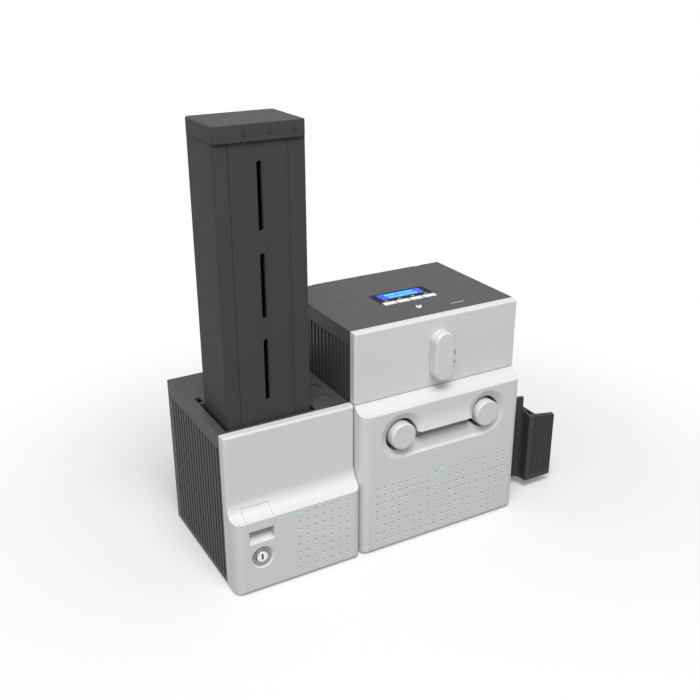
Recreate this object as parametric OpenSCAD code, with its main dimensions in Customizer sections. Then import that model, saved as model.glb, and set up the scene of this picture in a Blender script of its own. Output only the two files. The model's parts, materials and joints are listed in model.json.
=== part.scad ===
// Card printer with a docked card hopper, an open output tray and a lifting top cover.
// X runs along the card path from the hopper to the tray, Y to the back, Z up.
// The model is drawn from the hopper's lower left corner and moved to its base centre at the end.

/* [Housings] */
// Width of the hopper housing
hopper_w = 175; // [165:1:185]
// Height of the hopper housing
hopper_h = 208; // [200:1:216]
// Width of the printer housing
printer_w = 247; // [240:1:260]
// Height of the printer housing
printer_h = 303; // [297:1:312]
// Depth of both dark housings
body_d = 176; // [172:1:190]
// Gap between the docked housings
dock_gap = 1; // [0.6:0.1:1.6]
// Wall of the dark housings
shell_t = 4; // [3.4:0.1:4.6]
// Height of the rubber feet
foot_h = 3; // [2:0.5:6]
// Radius of the rubber feet
foot_r = 8; // [6:0.5:10]
// Thickness of the steel base plates
base_t = 2; // [1.5:0.1:2.5]

/* [White front panels] */
// How far the upper panels stand in front of the dark housings
upper_step = 12; // [11:0.5:14]
// How far the lower panels stand in front of the dark housings
lower_step = 33; // [31:0.5:35]
// Wall of the white panels
panel_t = 3; // [2.4:0.1:3.4]
// Radius of the lower panels' upright corners
bulge_r = 13; // [12:0.5:14]
// Radius of the upper panels' edges
edge_r = 3; // [2:0.5:4]
// Radius under the lower panels
sole_r = 3.5; // [2:0.5:5]
// Height of the hopper's ledge edge
hopper_ledge_z = 99; // [96:1:102]
// Height of the printer's ledge edge
printer_ledge_z = 197; // [193:1:199]
// Height of the seam under the upper printer panel
upper_seam_z = 208; // [206:1:210]
// Height of the seam over the lower printer panel
lower_seam_z = 100; // [98:1:102]
// Distance between the dimples of the dotted panels
dimple_pitch = 11.25; // [10.5:0.25:12]
// Radius of a dimple
dimple_r = 1.7; // [1:0.1:2]

/* [Side ribs] */
// Distance between the grooves on the housing sides
rib_pitch = 9.5; // [8:0.5:12]
// Width of a side groove
groove_w = 4.2; // [3:0.2:5]
// Depth of a side groove
groove_d = 1.8; // [1:0.1:2.2]
// Height of the smooth band over the grooves
band_h = 20; // [18:1:22]

/* [Card and its path] */
// Length of a card, along the path
card_l = 85.6; // [85:0.1:86]
// Width of a card, across the path
card_w = 54; // [53.5:0.1:54.5]
// Thickness of a card
card_t = 0.76; // [0.5:0.02:0.9]
// Height of the card path
path_z = 130; // [129:1:131]
// Distance from the housing front to the card
card_y = 19; // [18.5:0.5:19.5]
// Height of the card slots in the housing walls
slot_h = 5; // [4.6:0.1:5.4]

/* [Card tower] */
// Distance from the hopper's left side to the tower
tower_x = 16.5; // [15.5:0.5:17.5]
// Width of the tower
tower_w = 108; // [106:0.5:109]
// Depth of the tower
tower_d = 76; // [75:0.5:77]
// Distance from the housing front to the tower
tower_y = 8; // [7.5:0.5:8.5]
// Height of the tower's top over the housing's underside
tower_top = 540; // [480:5:580]
// Width of the tower's left column
column_w = 16.7; // [16:0.1:17]
// Height of the tower cap
cap_h = 19; // [16:1:22]
// Length of a sight slot
sight_l = 79; // [60:1:85]
// Distance between the sight slots
sight_pitch = 103.5; // [98:0.5:106]
// Width of a sight slot
sight_w = 6; // [4:0.5:8]

/* [Ribbon cassette] */
// Distance from the printer's sides to the knobs
knob_side = 58; // [56:0.5:60]
// Height of the knobs
knob_z = 160.5; // [159:0.5:162]
// Radius of a knob
knob_r = 18; // [16:0.5:19]
// Radius of the holes round the knobs
knob_hole_r = 22.5; // [21.5:0.5:23.5]
// Radius of the recess round the knobs
recess_r = 31.5; // [30:0.5:32]
// Travel of the cassette
cassette_travel = 95; // [80:5:100]
// Radius of the supply roll of ribbon
ribbon_r = 17; // [14:0.5:18]

/* [Top cover] */
// Length of the latch knob
latch_length = 66; // [60:1:70]
// Width of the latch knob
latch_w = 28; // [24:1:30]
// How far the latch knob stands out
latch_out = 16; // [12:1:18]
// Height of the latch knob's axis
latch_z = 252.6; // [251:0.2:254]
// Width of the display opening
display_w = 83.5; // [80:0.5:88]
// Depth of the display opening
display_d = 31; // [29:0.5:33]

/* [Output tray] */
// Length of the tray
tray_length = 90; // [88:1:100]
// Height of the tray's rim beside the card exit
tray_rim_z = 139.5; // [136:0.5:142]
// Height of the finger well's rim at its front corner by the printer
well_rim_z = 115; // [112:0.5:118]
// Height of the tray's outer end wall
end_wall_z = 91; // [80:0.5:95]
// Wall of the tray
tray_t = 3.5; // [3:0.1:4]
// Width of the finger well in front
well_w = 46; // [44:1:50]

/* [Hidden] */
$fn = 48;

// Clearances and the overrun of every cut
gap = 0.3;
fit = 0.05;
over = 1;

// Colours
dark = [0.29, 0.29, 0.3];
pale = [0.87, 0.87, 0.88];
steel = [0.66, 0.67, 0.69];
rubber_black = [0.12, 0.12, 0.12];
film_tint = [0.5, 0.22, 0.3];

// Places along X
px0 = hopper_w + dock_gap;
px1 = px0 + printer_w;
pcx = (px0 + px1) / 2;
knob_span = printer_w - 2 * knob_side;
tower_x1 = tower_x + tower_w;
tower_y1 = tower_y + tower_d;

// The card's place
card_cy = card_y + card_w / 2;
card_bottom = path_z - card_t / 2;
card_side_room = 2;
slot_y0 = card_y - card_side_room;
slot_y1 = card_y + card_w + card_side_room;

// Steel plates of both mechanisms
plate_t = 2;
plate_front_y = 10;
plate_inner_y = plate_front_y + plate_t;
plate_rear_y = tower_y1;

// Belts run behind the rear plates
belt_y0 = plate_rear_y + plate_t + 2 * plate_t;
belt_w = 6;
belt_t = 1.2;
shaft_r = 3;

// The whole model's limits, for its origin at the base centre
tray_x1 = px1 + tray_length;
knob_proud = 4.5;
front_y = -lower_step - knob_proud;
module placed() {
  translate([-tray_x1 / 2, -(front_y + body_d) / 2, foot_h]) children();
}

// A block between two corners
module block(lo, hi) { translate(lo) cube(hi - lo); }

// A flat outline in X and Z, thick from y0 to y1
module slab_y(y0, y1) { translate([0, y1, 0]) rotate([90, 0, 0]) linear_extrude(y1 - y0) children(); }

// A flat outline in Y and Z, drawn along X from x0 to x1
module drawn_x(x0, x1) { translate([x0, 0, 0]) rotate([90, 0, 90]) linear_extrude(x1 - x0) children(); }

// Straight cylinders along the axes
module rod_y(x, z, r, y0, y1) { translate([x, y0, z]) rotate([-90, 0, 0]) cylinder(r = r, h = y1 - y0); }
module rod_x(y, z, r, x0, x1) { translate([x0, y, z]) rotate([0, 90, 0]) cylinder(r = r, h = x1 - x0); }
module rod_z(x, y, r, z0, z1) { translate([x, y, z0]) cylinder(r = r, h = z1 - z0); }

// A rectangle with round corners
module round_rect(x0, y0, x1, y1, r) {
  translate([x0 + r, y0]) square([x1 - x0 - 2 * r, y1 - y0]);
  translate([x0, y0 + r]) square([x1 - x0, y1 - y0 - 2 * r]);
  for (x = [x0 + r, x1 - r]) for (y = [y0 + r, y1 - r]) translate([x, y]) circle(r);
}

// A long round outline round two centres, along X
module stadium_x(x0, x1, y, r) {
  translate([x0, y - r]) square([x1 - x0, 2 * r]);
  for (x = [x0, x1]) translate([x, y]) circle(r);
}

// Plan of a front panel: both front corners round, open to the back at y1
module panel_plan(x0, x1, y0, y1, r) {
  translate([x0, y0 + r]) square([x1 - x0, y1 - y0 - r]);
  translate([x0 + r, y0]) square([x1 - x0 - 2 * r, r + r]);
  for (x = [x0 + r, x1 - r]) translate([x, y0 + r]) circle(r);
}

// Vertical grooves on a side wall, cut from the outer face at x towards the inside
module side_grooves(x, inward, z0, z1) {
  first = groove_w;
  count = floor((body_d - 2 * first) / rib_pitch);
  for (i = [0 : count - 1]) {
    y = first + i * rib_pitch;
    block([min(x - inward * over, x + inward * groove_d), y, z0],
          [max(x - inward * over, x + inward * groove_d), y + groove_w, z1]);
  }
}

// Hopper housing

// Opening in the deck for the tower
deck_room = 5.5;
deck_room_y = 4;
skirt_h = 32;
skirt_t = 2;
dish_r = 14.5;
dish_depth = 2;
dish_places_share = [0.25, 0.68];
notch_w = 7;
notch_l = 14;
groove_foot = 7;
// Centre line of the finger dishes between the tower's opening and the right wall
dish_x = (tower_x1 + deck_room + hopper_w - shell_t) / 2;
notch_x = tower_x - deck_room;
// Half height of the dock notches, set by the base plates' tongues
tongue_w = 30;
tongue_l = 16;
tongue_places_share = [0.25, 0.75];
// The door turns about the centre of its corner
hinge_x = hopper_w - bulge_r;
hinge_y = bulge_r - lower_step;
door_sweep_r = sqrt(bulge_r * bulge_r + hinge_y * hinge_y) + gap;

module deck_opening(grow, z0, z1) {
  block([tower_x - deck_room - grow, tower_y - deck_room_y - grow, z0],
        [tower_x1 + deck_room + grow, tower_y1 + deck_room_y + grow, z1]);
}
module card_slot(x0, x1) { block([x0, slot_y0, path_z - slot_h / 2], [x1, slot_y1, path_z + slot_h / 2]); }
module tongue_notches(x0, x1) {
  for (s = tongue_places_share)
    block([x0, body_d * s - tongue_w / 2 - gap, -over], [x1, body_d * s + tongue_w / 2 + gap, base_t + gap]);
}
module hopper_shell() {
  deck_z = hopper_h - shell_t;
  color(dark) difference() {
    union() {
      difference() {
        block([0, 0, 0], [hopper_w, body_d, hopper_h]);
        block([shell_t, -over, -over], [hopper_w - shell_t, body_d - shell_t, deck_z]);
      }
      deck_opening(skirt_t, deck_z - skirt_h, deck_z + over);
    }
    deck_opening(0, deck_z - skirt_h - over, hopper_h + over);
    for (s = dish_places_share)
      rod_z(dish_x, tower_y + tower_d * s, dish_r, hopper_h - dish_depth, hopper_h + over);
    block([notch_x, tower_y1 + 2 * deck_room_y, deck_z - over],
          [notch_x + notch_w, tower_y1 + 2 * deck_room_y + notch_l, hopper_h + over]);
    side_grooves(0, 1, groove_foot, hopper_h - band_h);
    card_slot(hopper_w - shell_t - over, hopper_w + over);
    tongue_notches(hopper_w - shell_t - over, hopper_w + over);
    rod_z(hinge_x, hinge_y, door_sweep_r, -over, hopper_h + over);
  }
}

// Base plates, joined by two dock tongues
module hopper_base() {
  color(steel) difference() {
    block([shell_t, hinge_y + door_sweep_r, 0], [hopper_w - shell_t, body_d - shell_t, base_t]);
    for (s = tongue_places_share)
      block([hopper_w - tongue_l - gap, body_d * s - tongue_w / 2 - gap, -over],
            [hopper_w, body_d * s + tongue_w / 2 + gap, base_t + over]);
  }
}
module printer_base() {
  color(steel) union() {
    block([px0 + shell_t, 0, 0], [px1 - shell_t, body_d - shell_t, base_t]);
    for (s = tongue_places_share)
      block([hopper_w - tongue_l, body_d * s - tongue_w / 2, 0],
            [px0 + shell_t, body_d * s + tongue_w / 2, base_t]);
  }
}
foot_inset = 20;
module feet() {
  color(rubber_black)
    for (span = [[0, hopper_w], [px0, px1]])
      for (x = [span[0] + foot_inset, span[1] - foot_inset])
        for (y = [foot_inset, body_d - foot_inset])
          rod_z(x, y, foot_r, -foot_h, 0);
}

// Hopper mechanism
pick_x = tower_x + column_w + card_l / 4;
pick_r = 15;
pick_z = card_bottom - pick_r;
feed_x = (tower_x1 + hopper_w) / 2 - shell_t;
feed_r = 12;
feed_z = card_bottom - feed_r;
pick_motor_x = (pick_x + feed_x) / 2;
pick_motor_z = 40;
motor_r = 18;
motor_l = 38;
motor_collar_r = 10;
hopper_pulley_r = 10;
motor_pulley_r = 8;
floor_t = 3;
floor_z = card_bottom - floor_t;
frame_x0 = tower_x - deck_room + 2 * gap;
frame_x1 = hopper_w - shell_t - 2 * shell_t;
ear_r = 5;
ear_t = 4;
ear_zs = [2 * ear_t, hopper_ledge_z - bulge_r - plate_t];
pin_r = 2;
pin_l = 9;

// Lock place and its catch on the frame
lock_x = 35.4;
lock_z = 46.2;
lock_r = 12;
plug_r = 7;
dish_lock_r = 15.5;
lock_dish_d = 2.4;
lock_sink = 1;
ring_r = 10.4;
ring_d = 2;
lock_depth = 17;
cam_w = 9;
cam_l = 16;
cam_t = 2;
cam_back = 9.6;
cam_y0 = -lower_step + lock_depth + cam_back;
catch_lip_y1 = cam_y0 - 2 * over;

module hinge_ear(z0) {
  block([hinge_x - ear_r, hinge_y, z0], [hinge_x + ear_r, plate_front_y, z0 + ear_t]);
  rod_z(hinge_x, hinge_y, ear_r, z0, z0 + ear_t);
}
module hopper_frame() {
  color(steel) difference() {
    union() {
      block([frame_x0, plate_front_y, base_t], [hinge_x + ear_r, plate_front_y + plate_t, floor_z]);
      block([frame_x0, plate_rear_y - plate_t, base_t], [frame_x1, plate_rear_y, floor_z]);
      for (z = ear_zs) hinge_ear(z);
      rod_z(hinge_x, hinge_y, pin_r, ear_zs[0], ear_zs[0] + ear_t + pin_l);
      rod_z(hinge_x, hinge_y, pin_r, ear_zs[1] - pin_l, ear_zs[1] + ear_t);
      block([lock_x + cam_l + over, catch_lip_y1 - cam_t, lock_z - cam_w],
            [lock_x + cam_l + over + cam_t, plate_front_y, lock_z + cam_w]);
      block([lock_x + cam_l - cam_w / 2, catch_lip_y1 - cam_t, lock_z - cam_w],
            [lock_x + cam_l + over + cam_t, catch_lip_y1, lock_z + cam_w]);
    }
    for (p = [[pick_x, pick_z], [feed_x, feed_z], [pick_motor_x, pick_motor_z]])
      rod_y(p[0], p[1], shaft_r + fit, plate_front_y - over, plate_rear_y + over);
  }
}
window_room = 2;
tyre_w = 32;
module roller_window(x, r, w) {
  block([x - r - window_room, card_cy - w / 2 - window_room, floor_z - over],
        [x + r + window_room, card_cy + w / 2 + window_room, card_bottom + over]);
}
module card_floor() {
  color(steel) difference() {
    block([frame_x0, tower_y, floor_z], [hopper_w - shell_t - 2 * gap, tower_y1 + deck_room_y, card_bottom]);
    roller_window(pick_x, pick_r, tyre_w);
    roller_window(feed_x, feed_r, tyre_w);
  }
}
hub_r = 6;
module driven_roller(x, z, r, w, pulley_r) {
  rod_y(x, z, shaft_r, plate_front_y - plate_t, belt_y0 + belt_w);
  rod_y(x, z, r, card_cy - w / 2, card_cy + w / 2);
  rod_y(x, z, hub_r, card_cy - w / 2 - window_room, card_cy + w / 2 + window_room);
  rod_y(x, z, pulley_r, belt_y0, belt_y0 + belt_w);
}
module pick_roller() { color(rubber_black) driven_roller(pick_x, pick_z, pick_r, tyre_w, hopper_pulley_r); }
module feed_roller() { color(rubber_black) driven_roller(feed_x, feed_z, feed_r, tyre_w, hopper_pulley_r); }

// A round motor in front of a rear plate, with a bore for its shaft
module motor(x, z, plate_y) {
  difference() {
    union() {
      rod_y(x, z, motor_r, plate_y - plate_t - motor_l, plate_y - plate_t);
      rod_y(x, z, motor_collar_r, plate_y - plate_t - motor_l - plate_t, plate_y - plate_t);
    }
    rod_y(x, z, shaft_r + fit, plate_y - plate_t - motor_l / 2, plate_y + over);
  }
}
module motor_pulley(x, z, plate_y, r) {
  rod_y(x, z, shaft_r, plate_y - plate_t - motor_l / 2 + gap, belt_y0 + belt_w);
  rod_y(x, z, r, belt_y0, belt_y0 + belt_w);
}
module pick_motor() { color(steel) motor(pick_motor_x, pick_motor_z, plate_rear_y); }
module pick_pulley() { color(steel) motor_pulley(pick_motor_x, pick_motor_z, plate_rear_y, motor_pulley_r); }

// A belt round a list of pulleys, each given as [x, z, radius]
module belt_outline(pulleys, grow) {
  hull() for (p = pulleys) translate([p[0], p[1]]) circle(p[2] + grow, $fn = 32);
}
module belt(pulleys) {
  slab_y(belt_y0, belt_y0 + belt_w) difference() {
    belt_outline(pulleys, gap + belt_t);
    belt_outline(pulleys, gap);
  }
}
module pick_belt() {
  color(rubber_black) belt([[pick_x, pick_z, hopper_pulley_r], [feed_x, feed_z, hopper_pulley_r],
    [pick_motor_x, pick_motor_z, motor_pulley_r]]);
}

// Hopper door: one moulding with a concave ledge between its upper and lower faces
ledge_r = lower_step - upper_step;
ledge_top_z = hopper_ledge_z + ledge_r;

// Side profile of the door in Y and Z, or of its hollow where inset is the wall
module door_profile(inset) {
  difference() {
    translate([inset - lower_step, inset]) square([lower_step, ledge_top_z - inset]);
    translate([-lower_step, ledge_top_z]) circle(ledge_r + inset);
    difference() {
      translate([inset - lower_step, inset]) square(sole_r);
      translate([inset - lower_step + sole_r, inset + sole_r]) circle(sole_r);
    }
  }
}
module top_edge_profile(z0, z1, inset) {
  difference() {
    translate([inset - upper_step, z0]) square([upper_step, z1 - inset - z0]);
    difference() {
      translate([inset - upper_step - over, z1 - inset - edge_r]) square([edge_r + over, edge_r + over]);
      translate([inset - upper_step + edge_r, z1 - inset - edge_r]) circle(edge_r);
    }
  }
}
module door_solid(inset, y1) {
  x0 = inset;
  x1 = hopper_w - inset;
  r = bulge_r - inset;
  intersection() {
    drawn_x(x0, x1) door_profile(inset);
    linear_extrude(ledge_top_z) panel_plan(x0, x1, inset - lower_step, y1, r);
  }
  intersection() {
    drawn_x(x0, x1) top_edge_profile(ledge_top_z - (inset > 0 ? over : 0), hopper_h, inset);
    linear_extrude(hopper_h) panel_plan(x0, x1, inset - upper_step, y1, edge_r);
  }
}

// The latch lever follows the ledge and tilts out over a finger pocket
lever_w = 35.6;
lever_cx = 35.5;
lever_z0 = 86.5;
lever_z1 = 110;
lever_room = 0.8;
lever_axis_y = -upper_step;
lever_axis_z = lever_z1 - lever_room;
lever_pin_r = 1;
lever_pin_l = 1.6;
pocket_z0 = 68;
pocket_side = 1.4;
pocket_depth = 14;
pocket_wall = 2;
lever_lug_w = 5;
lever_lug_h = 6;
lever_x0 = lever_cx - lever_w / 2;
lever_x1 = lever_cx + lever_w / 2;
pocket_x0 = lever_x0 + pocket_side;
pocket_x1 = lever_x1 - pocket_side;
hopper_lamp_x = 86.5;
lamp_r = 3;
lamp_h = 5;
lamp_proud = 0.4;
hopper_lamp_z = 91.5;
dimple_rows = 8;
dimple_top_z = 92;
hopper_dimple_cols = 7;
dimple_d = 0.9;
dimple_floor_share = 0.35;
boss_r = bulge_r - panel_t + gap + gap;
boss_h = 10;

module dimples(x0, cols, skip_col) {
  for (i = [0 : cols - 1]) for (j = [0 : dimple_rows - 1])
    if (j > 0 || i != skip_col)
      translate([x0 + i * dimple_pitch, -lower_step, dimple_top_z - j * dimple_pitch]) rotate([-90, 0, 0])
        cylinder(r1 = dimple_r, r2 = dimple_r * dimple_floor_share, h = dimple_d, $fn = 16);
}
module ear_slot(z0) {
  block([hinge_x + ear_r, hinge_y - bulge_r / 2, z0 - gap - gap], [hopper_w + over, over, z0 + ear_t + gap + gap]);
}
module hinge_boss(z0) { rod_z(hinge_x, hinge_y, boss_r, z0, z0 + boss_h); }
module pocket_profile() {
  polygon([[-lower_step - over, pocket_z0], [-lower_step - over, lever_z0 - gap],
    [-lower_step + pocket_depth, lever_z0 + over], [-lower_step + pocket_depth, lever_z0 - 2 * pocket_wall],
    [-lower_step + 2 * panel_t, pocket_z0 + panel_t], [-lower_step, pocket_z0]]);
}
module lock_cone(r1, r2, y0, h) {
  translate([lock_x, y0, lock_z]) rotate([-90, 0, 0]) cylinder(r1 = r1, r2 = r2, h = h);
}
module hopper_door() {
  ear_boss_zs = [ear_zs[0] + ear_t + gap, ear_zs[1] - gap - boss_h];
  color(pale) difference() {
    union() {
      difference() {
        door_solid(0, -gap);
        door_solid(panel_t, over);
        block([lever_x0 - gap, -lower_step - over, pocket_z0], [lever_x1 + gap, 0, lever_z1 + gap]);
      }
      difference() {
        block([lever_x0 - pocket_wall, -lower_step, pocket_z0 - pocket_wall],
              [lever_x1 + pocket_wall, -lower_step + pocket_depth + pocket_wall, lever_z0 - gap]);
        drawn_x(pocket_x0, pocket_x1) pocket_profile();
      }
      for (x = [lever_x0 - gap - lever_lug_w, lever_x1 + gap])
        block([x, lever_axis_y, lever_axis_z - lever_lug_h],
              [x + lever_lug_w, lever_axis_y + 2 * panel_t, lever_axis_z + lever_lug_h]);
      for (z = ear_boss_zs) hinge_boss(z);
    }
    for (z = ear_zs) ear_slot(z);
    for (z = ear_boss_zs) rod_z(hinge_x, hinge_y, pin_r + fit, z - over, z + boss_h + over);
    rod_x(lever_axis_y, lever_axis_z, lever_pin_r + fit, lever_x0 - lever_pin_l - gap,
          lever_x1 + lever_pin_l + gap);
    rod_y(lock_x, lock_z, lock_r + fit, -lower_step - over, 0);
    lock_cone(dish_lock_r, lock_r + fit, -lower_step, lock_dish_d);
    rod_y(hopper_lamp_x, hopper_lamp_z, lamp_r + fit, -lower_step - over, 0);
    dimples(hopper_lamp_x, hopper_dimple_cols, 0);
  }
}
module latch_lever() {
  pin_lug_y1 = lever_axis_y + 2 * lever_pin_r;
  color(pale) difference() {
    union() {
      intersection() {
        difference() {
          door_solid(0, -gap);
          door_solid(panel_t, over);
        }
        block([lever_x0, -lower_step - over, lever_z0], [lever_x1, 0, lever_z1 - lever_room / 2]);
      }
      rod_x(lever_axis_y, lever_axis_z, lever_pin_r, lever_x0 - lever_pin_l, lever_x1 + lever_pin_l);
      block([lever_x0, -lower_step + pocket_wall, lever_z0], [lever_x1, -lower_step + 2 * panel_t, lever_z0 + panel_t]);
    }
    block([lever_x0 - over - lever_pin_l, pin_lug_y1, lever_z0], [lever_x0, over, lever_z1]);
  }
}
module lock_barrel() {
  color(steel) difference() {
    union() {
      rod_y(lock_x, lock_z, lock_r, -lower_step + lock_sink, -lower_step + lock_depth);
      rod_y(lock_x, lock_z, lock_r + panel_t, -lower_step + panel_t, -lower_step + 2 * panel_t);
    }
    rod_y(lock_x, lock_z, plug_r + fit, -lower_step - over, 0);
    lock_cone(ring_r, plug_r + fit, -lower_step + lock_sink, ring_d);
  }
}
key_slot_w = 1.8;
key_slot_h = 7.7;
key_slot_d = 6;
module lock_plug() {
  color(steel) difference() {
    union() {
      rod_y(lock_x, lock_z, plug_r, -lower_step + lock_sink, cam_y0 + cam_t);
      block([lock_x - cam_w / 2, cam_y0, lock_z], [lock_x + cam_w / 2, cam_y0 + cam_t, lock_z + cam_l]);
    }
    block([lock_x - key_slot_w / 2, -lower_step - over, lock_z - key_slot_h / 2],
          [lock_x + key_slot_w / 2, -lower_step + key_slot_d, lock_z + key_slot_h / 2]);
  }
}
module lamp(x, z) { color("lightblue") rod_y(x, z, lamp_r, -lower_step - lamp_proud, -lower_step + lamp_h); }
module hopper_lamp() { lamp(hopper_lamp_x, hopper_lamp_z); }

// Card tower: a hollow column, a back and a side profile, and a shutter that slides up
column_r = 5;
column_wall = 2.5;
cavity_x0 = tower_x + column_w;
side_t = 3.5;
back_t = 9.5;
shutter_t = 5;
tongue_t = 1.4;
tongue_in = 3;
side_groove_y = 4;
exit_gap = card_t + card_t;
seam_x = cavity_x0 + gap;
back_y = tower_y1 - back_t;
module tower_column() {
  color(dark) difference() {
    translate([0, 0, card_bottom]) linear_extrude(tower_top - card_bottom) difference() {
      union() {
        translate([tower_x + column_r, tower_y]) square([column_w - column_r, tower_d]);
        translate([tower_x, tower_y + column_r]) square([column_w, tower_d - column_r]);
        translate([tower_x + column_r, tower_y + column_r]) circle(column_r);
      }
      translate([tower_x + column_wall, tower_y + shutter_t + 2 * column_wall])
        square([column_w - 2 * column_wall, tower_d - shutter_t - 3 * column_wall]);
      translate([cavity_x0 - tongue_in, tower_y + shutter_t / 2 - tongue_t / 2 - gap])
        square([tongue_in + over, tongue_t + 2 * gap]);
    }
  }
}
module tower_back() {
  rib_w = column_wall;
  color(dark) translate([0, 0, card_bottom]) linear_extrude(tower_top - card_bottom) difference() {
    translate([cavity_x0, back_y]) square([tower_x1 - cavity_x0, back_t]);
    for (i = [0 : 2]) {
      bay = (tower_x1 - cavity_x0 - rib_w) / 3;
      translate([cavity_x0 + rib_w + i * bay, back_y + rib_w]) square([bay - rib_w, back_t - 2 * rib_w]);
    }
  }
}
module tower_side() {
  z0 = card_bottom + exit_gap;
  color(dark) translate([0, 0, z0]) linear_extrude(tower_top - z0) difference() {
    translate([tower_x1 - side_t, tower_y + shutter_t + gap])
      square([side_t, back_y - tower_y - shutter_t - gap]);
    translate([tower_x1 - side_t / 2 - tongue_t / 2 - gap, tower_y + shutter_t])
      square([tongue_t + 2 * gap, side_groove_y + gap + gap]);
  }
}
sight_cx_share = 0.39;
sight_top = 21;
groove_depth = 0.8;
shallow_w = 3.5;
band_share = [0.315, 0.45];
second_groove_share = 0.74;
cap_over = 1;
cap_front = 3;
cap_back = 2;
cap_room = 3;
cap_r = 6;
cap_edge_r = 3;
screw_r = 2.6;
screw_shank_r = 1.5;
screw_head_h = 0.8;
screw_pitch = 29.5;
shutter_w = tower_x1 - seam_x;
sight_x = seam_x + shutter_w * sight_cx_share;
screw_x = seam_x + shutter_w / 2 + card_side_room;
cap_z0 = tower_top + gap;
cap_z1 = cap_z0 + cap_h;
screw_z = (cap_z0 + cap_z1) / 2;
module shutter() {
  z0 = card_bottom + exit_gap;
  z1 = cap_z1 - 2 * cap_room;
  color(dark) difference() {
    union() {
      block([seam_x, tower_y, z0], [tower_x1, tower_y + shutter_t, z1]);
      block([cavity_x0 - tongue_in + gap, tower_y + shutter_t / 2 - tongue_t / 2, z0],
            [seam_x + over, tower_y + shutter_t / 2 + tongue_t / 2, tower_top]);
      block([tower_x1 - side_t / 2 - tongue_t / 2, tower_y + shutter_t - over, z0],
            [tower_x1 - side_t / 2 + tongue_t / 2, tower_y + shutter_t + side_groove_y, tower_top]);
    }
    for (i = [0 : 2])
      slab_y(tower_y - over, tower_y + shutter_t + over)
        round_rect(sight_x - sight_w / 2, tower_top - sight_top - i * sight_pitch - sight_l,
                   sight_x + sight_w / 2, tower_top - sight_top - i * sight_pitch, sight_w / 2 - fit);
    block([seam_x + shutter_w * band_share[0], tower_y - over, z0 - over],
          [seam_x + shutter_w * band_share[1], tower_y + groove_depth / 2, z1 + over]);
    block([seam_x + shutter_w * second_groove_share, tower_y - over, z0 - over],
          [seam_x + shutter_w * second_groove_share + shallow_w, tower_y + groove_depth, z1 + over]);
    block([tower_x1 - 2 * cap_room, tower_y - over, tower_top],
          [tower_x1 + over, tower_y + shutter_t + side_groove_y + over, z1 + over]);
    for (i = [-1 : 1])
      rod_y(screw_x + i * screw_pitch, screw_z, screw_shank_r + fit, tower_y - over, tower_y + shutter_t + over);
  }
}
module tower_cap() {
  y0 = tower_y - cap_front;
  y1 = tower_y1 + cap_back;
  x0 = tower_x - cap_over;
  x1 = tower_x1 + cap_over;
  color(dark) difference() {
    intersection() {
      translate([0, 0, cap_z0]) linear_extrude(cap_h) round_rect(x0, y0, x1, y1, cap_r);
      slab_y(y0, y1) union() {
        translate([x0, cap_z0]) square([x1 - x0, cap_h - cap_edge_r]);
        translate([x0 + cap_edge_r, cap_z1 - cap_edge_r - over]) square([x1 - x0 - 2 * cap_edge_r, cap_edge_r + over]);
        for (x = [x0 + cap_edge_r, x1 - cap_edge_r]) translate([x, cap_z1 - cap_edge_r]) circle(cap_edge_r);
      }
    }
    translate([0, 0, cap_z0 - over]) linear_extrude(cap_h - cap_room + over)
      round_rect(x0 + cap_room, tower_y, x1 - cap_room, y1 - cap_room, cap_room);
    for (i = [-1 : 1]) rod_y(screw_x + i * screw_pitch, screw_z, screw_shank_r + fit, y0 - over, tower_y + over);
  }
}
module cap_screws() {
  y0 = tower_y - cap_front;
  color(steel) for (i = [-1 : 1]) {
    rod_y(screw_x + i * screw_pitch, screw_z, screw_r, y0 - screw_head_h, y0);
    rod_y(screw_x + i * screw_pitch, screw_z, screw_shank_r, y0, tower_y + shutter_t);
  }
}
weight_room = 1.6;
weight_h = 20;
weight_r = 4;
weight_slot_l = 50;
weight_slot_w = 14;
module card_weight() {
  x0 = cavity_x0 + weight_room;
  x1 = tower_x1 - side_t - weight_room;
  y0 = tower_y + shutter_t + side_groove_y + weight_room;
  y1 = back_y - weight_room;
  color(steel) difference() {
    translate([0, 0, card_bottom + gap]) linear_extrude(weight_h) round_rect(x0, y0, x1, y1, weight_r);
    translate([0, 0, card_bottom + weight_h / 2]) linear_extrude(weight_h)
      stadium_x((x0 + x1) / 2 - weight_slot_l / 2, (x0 + x1) / 2 + weight_slot_l / 2, (y0 + y1) / 2, weight_slot_w / 2);
  }
}

// Printer housing
cover_z0 = printer_h - band_h;
cover_t = 4;
// Cover hinge in the top rear corner
cover_axis_y = body_d - shell_t;
cover_axis_z = printer_h - cover_t;
knuckle_r = 4;
knuckle_w = 10;
knuckle_inset = 30;
// The cover's rear band swings past the walls under it
wall_top_z = cover_z0 - 2 * gap - 2 * fit;
rail_lip = 3;
rail_gap = 0.3;
arm_h = 21;
arm_t = 5;
rail_in = arm_t + 2;
rail_z0 = knob_z - arm_h / 2 - rail_gap;
rail_z1 = knob_z + arm_h / 2 + rail_gap;
rail_y0 = 5;
rail_end = 8;
vent_w = 4;
vent_h = 60;
vent_pitch = 9;
vent_count = 14;
vent_inset = 25;
vent_x0 = px0 + vent_inset;
vent_z0 = 190;
socket_w = 70;
socket_inset = 22;
socket_x1 = px1 - socket_inset;
socket_x0 = socket_x1 - socket_w;
socket_z0 = 60;
socket_z1 = 96;
socket_d = 20;

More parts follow.
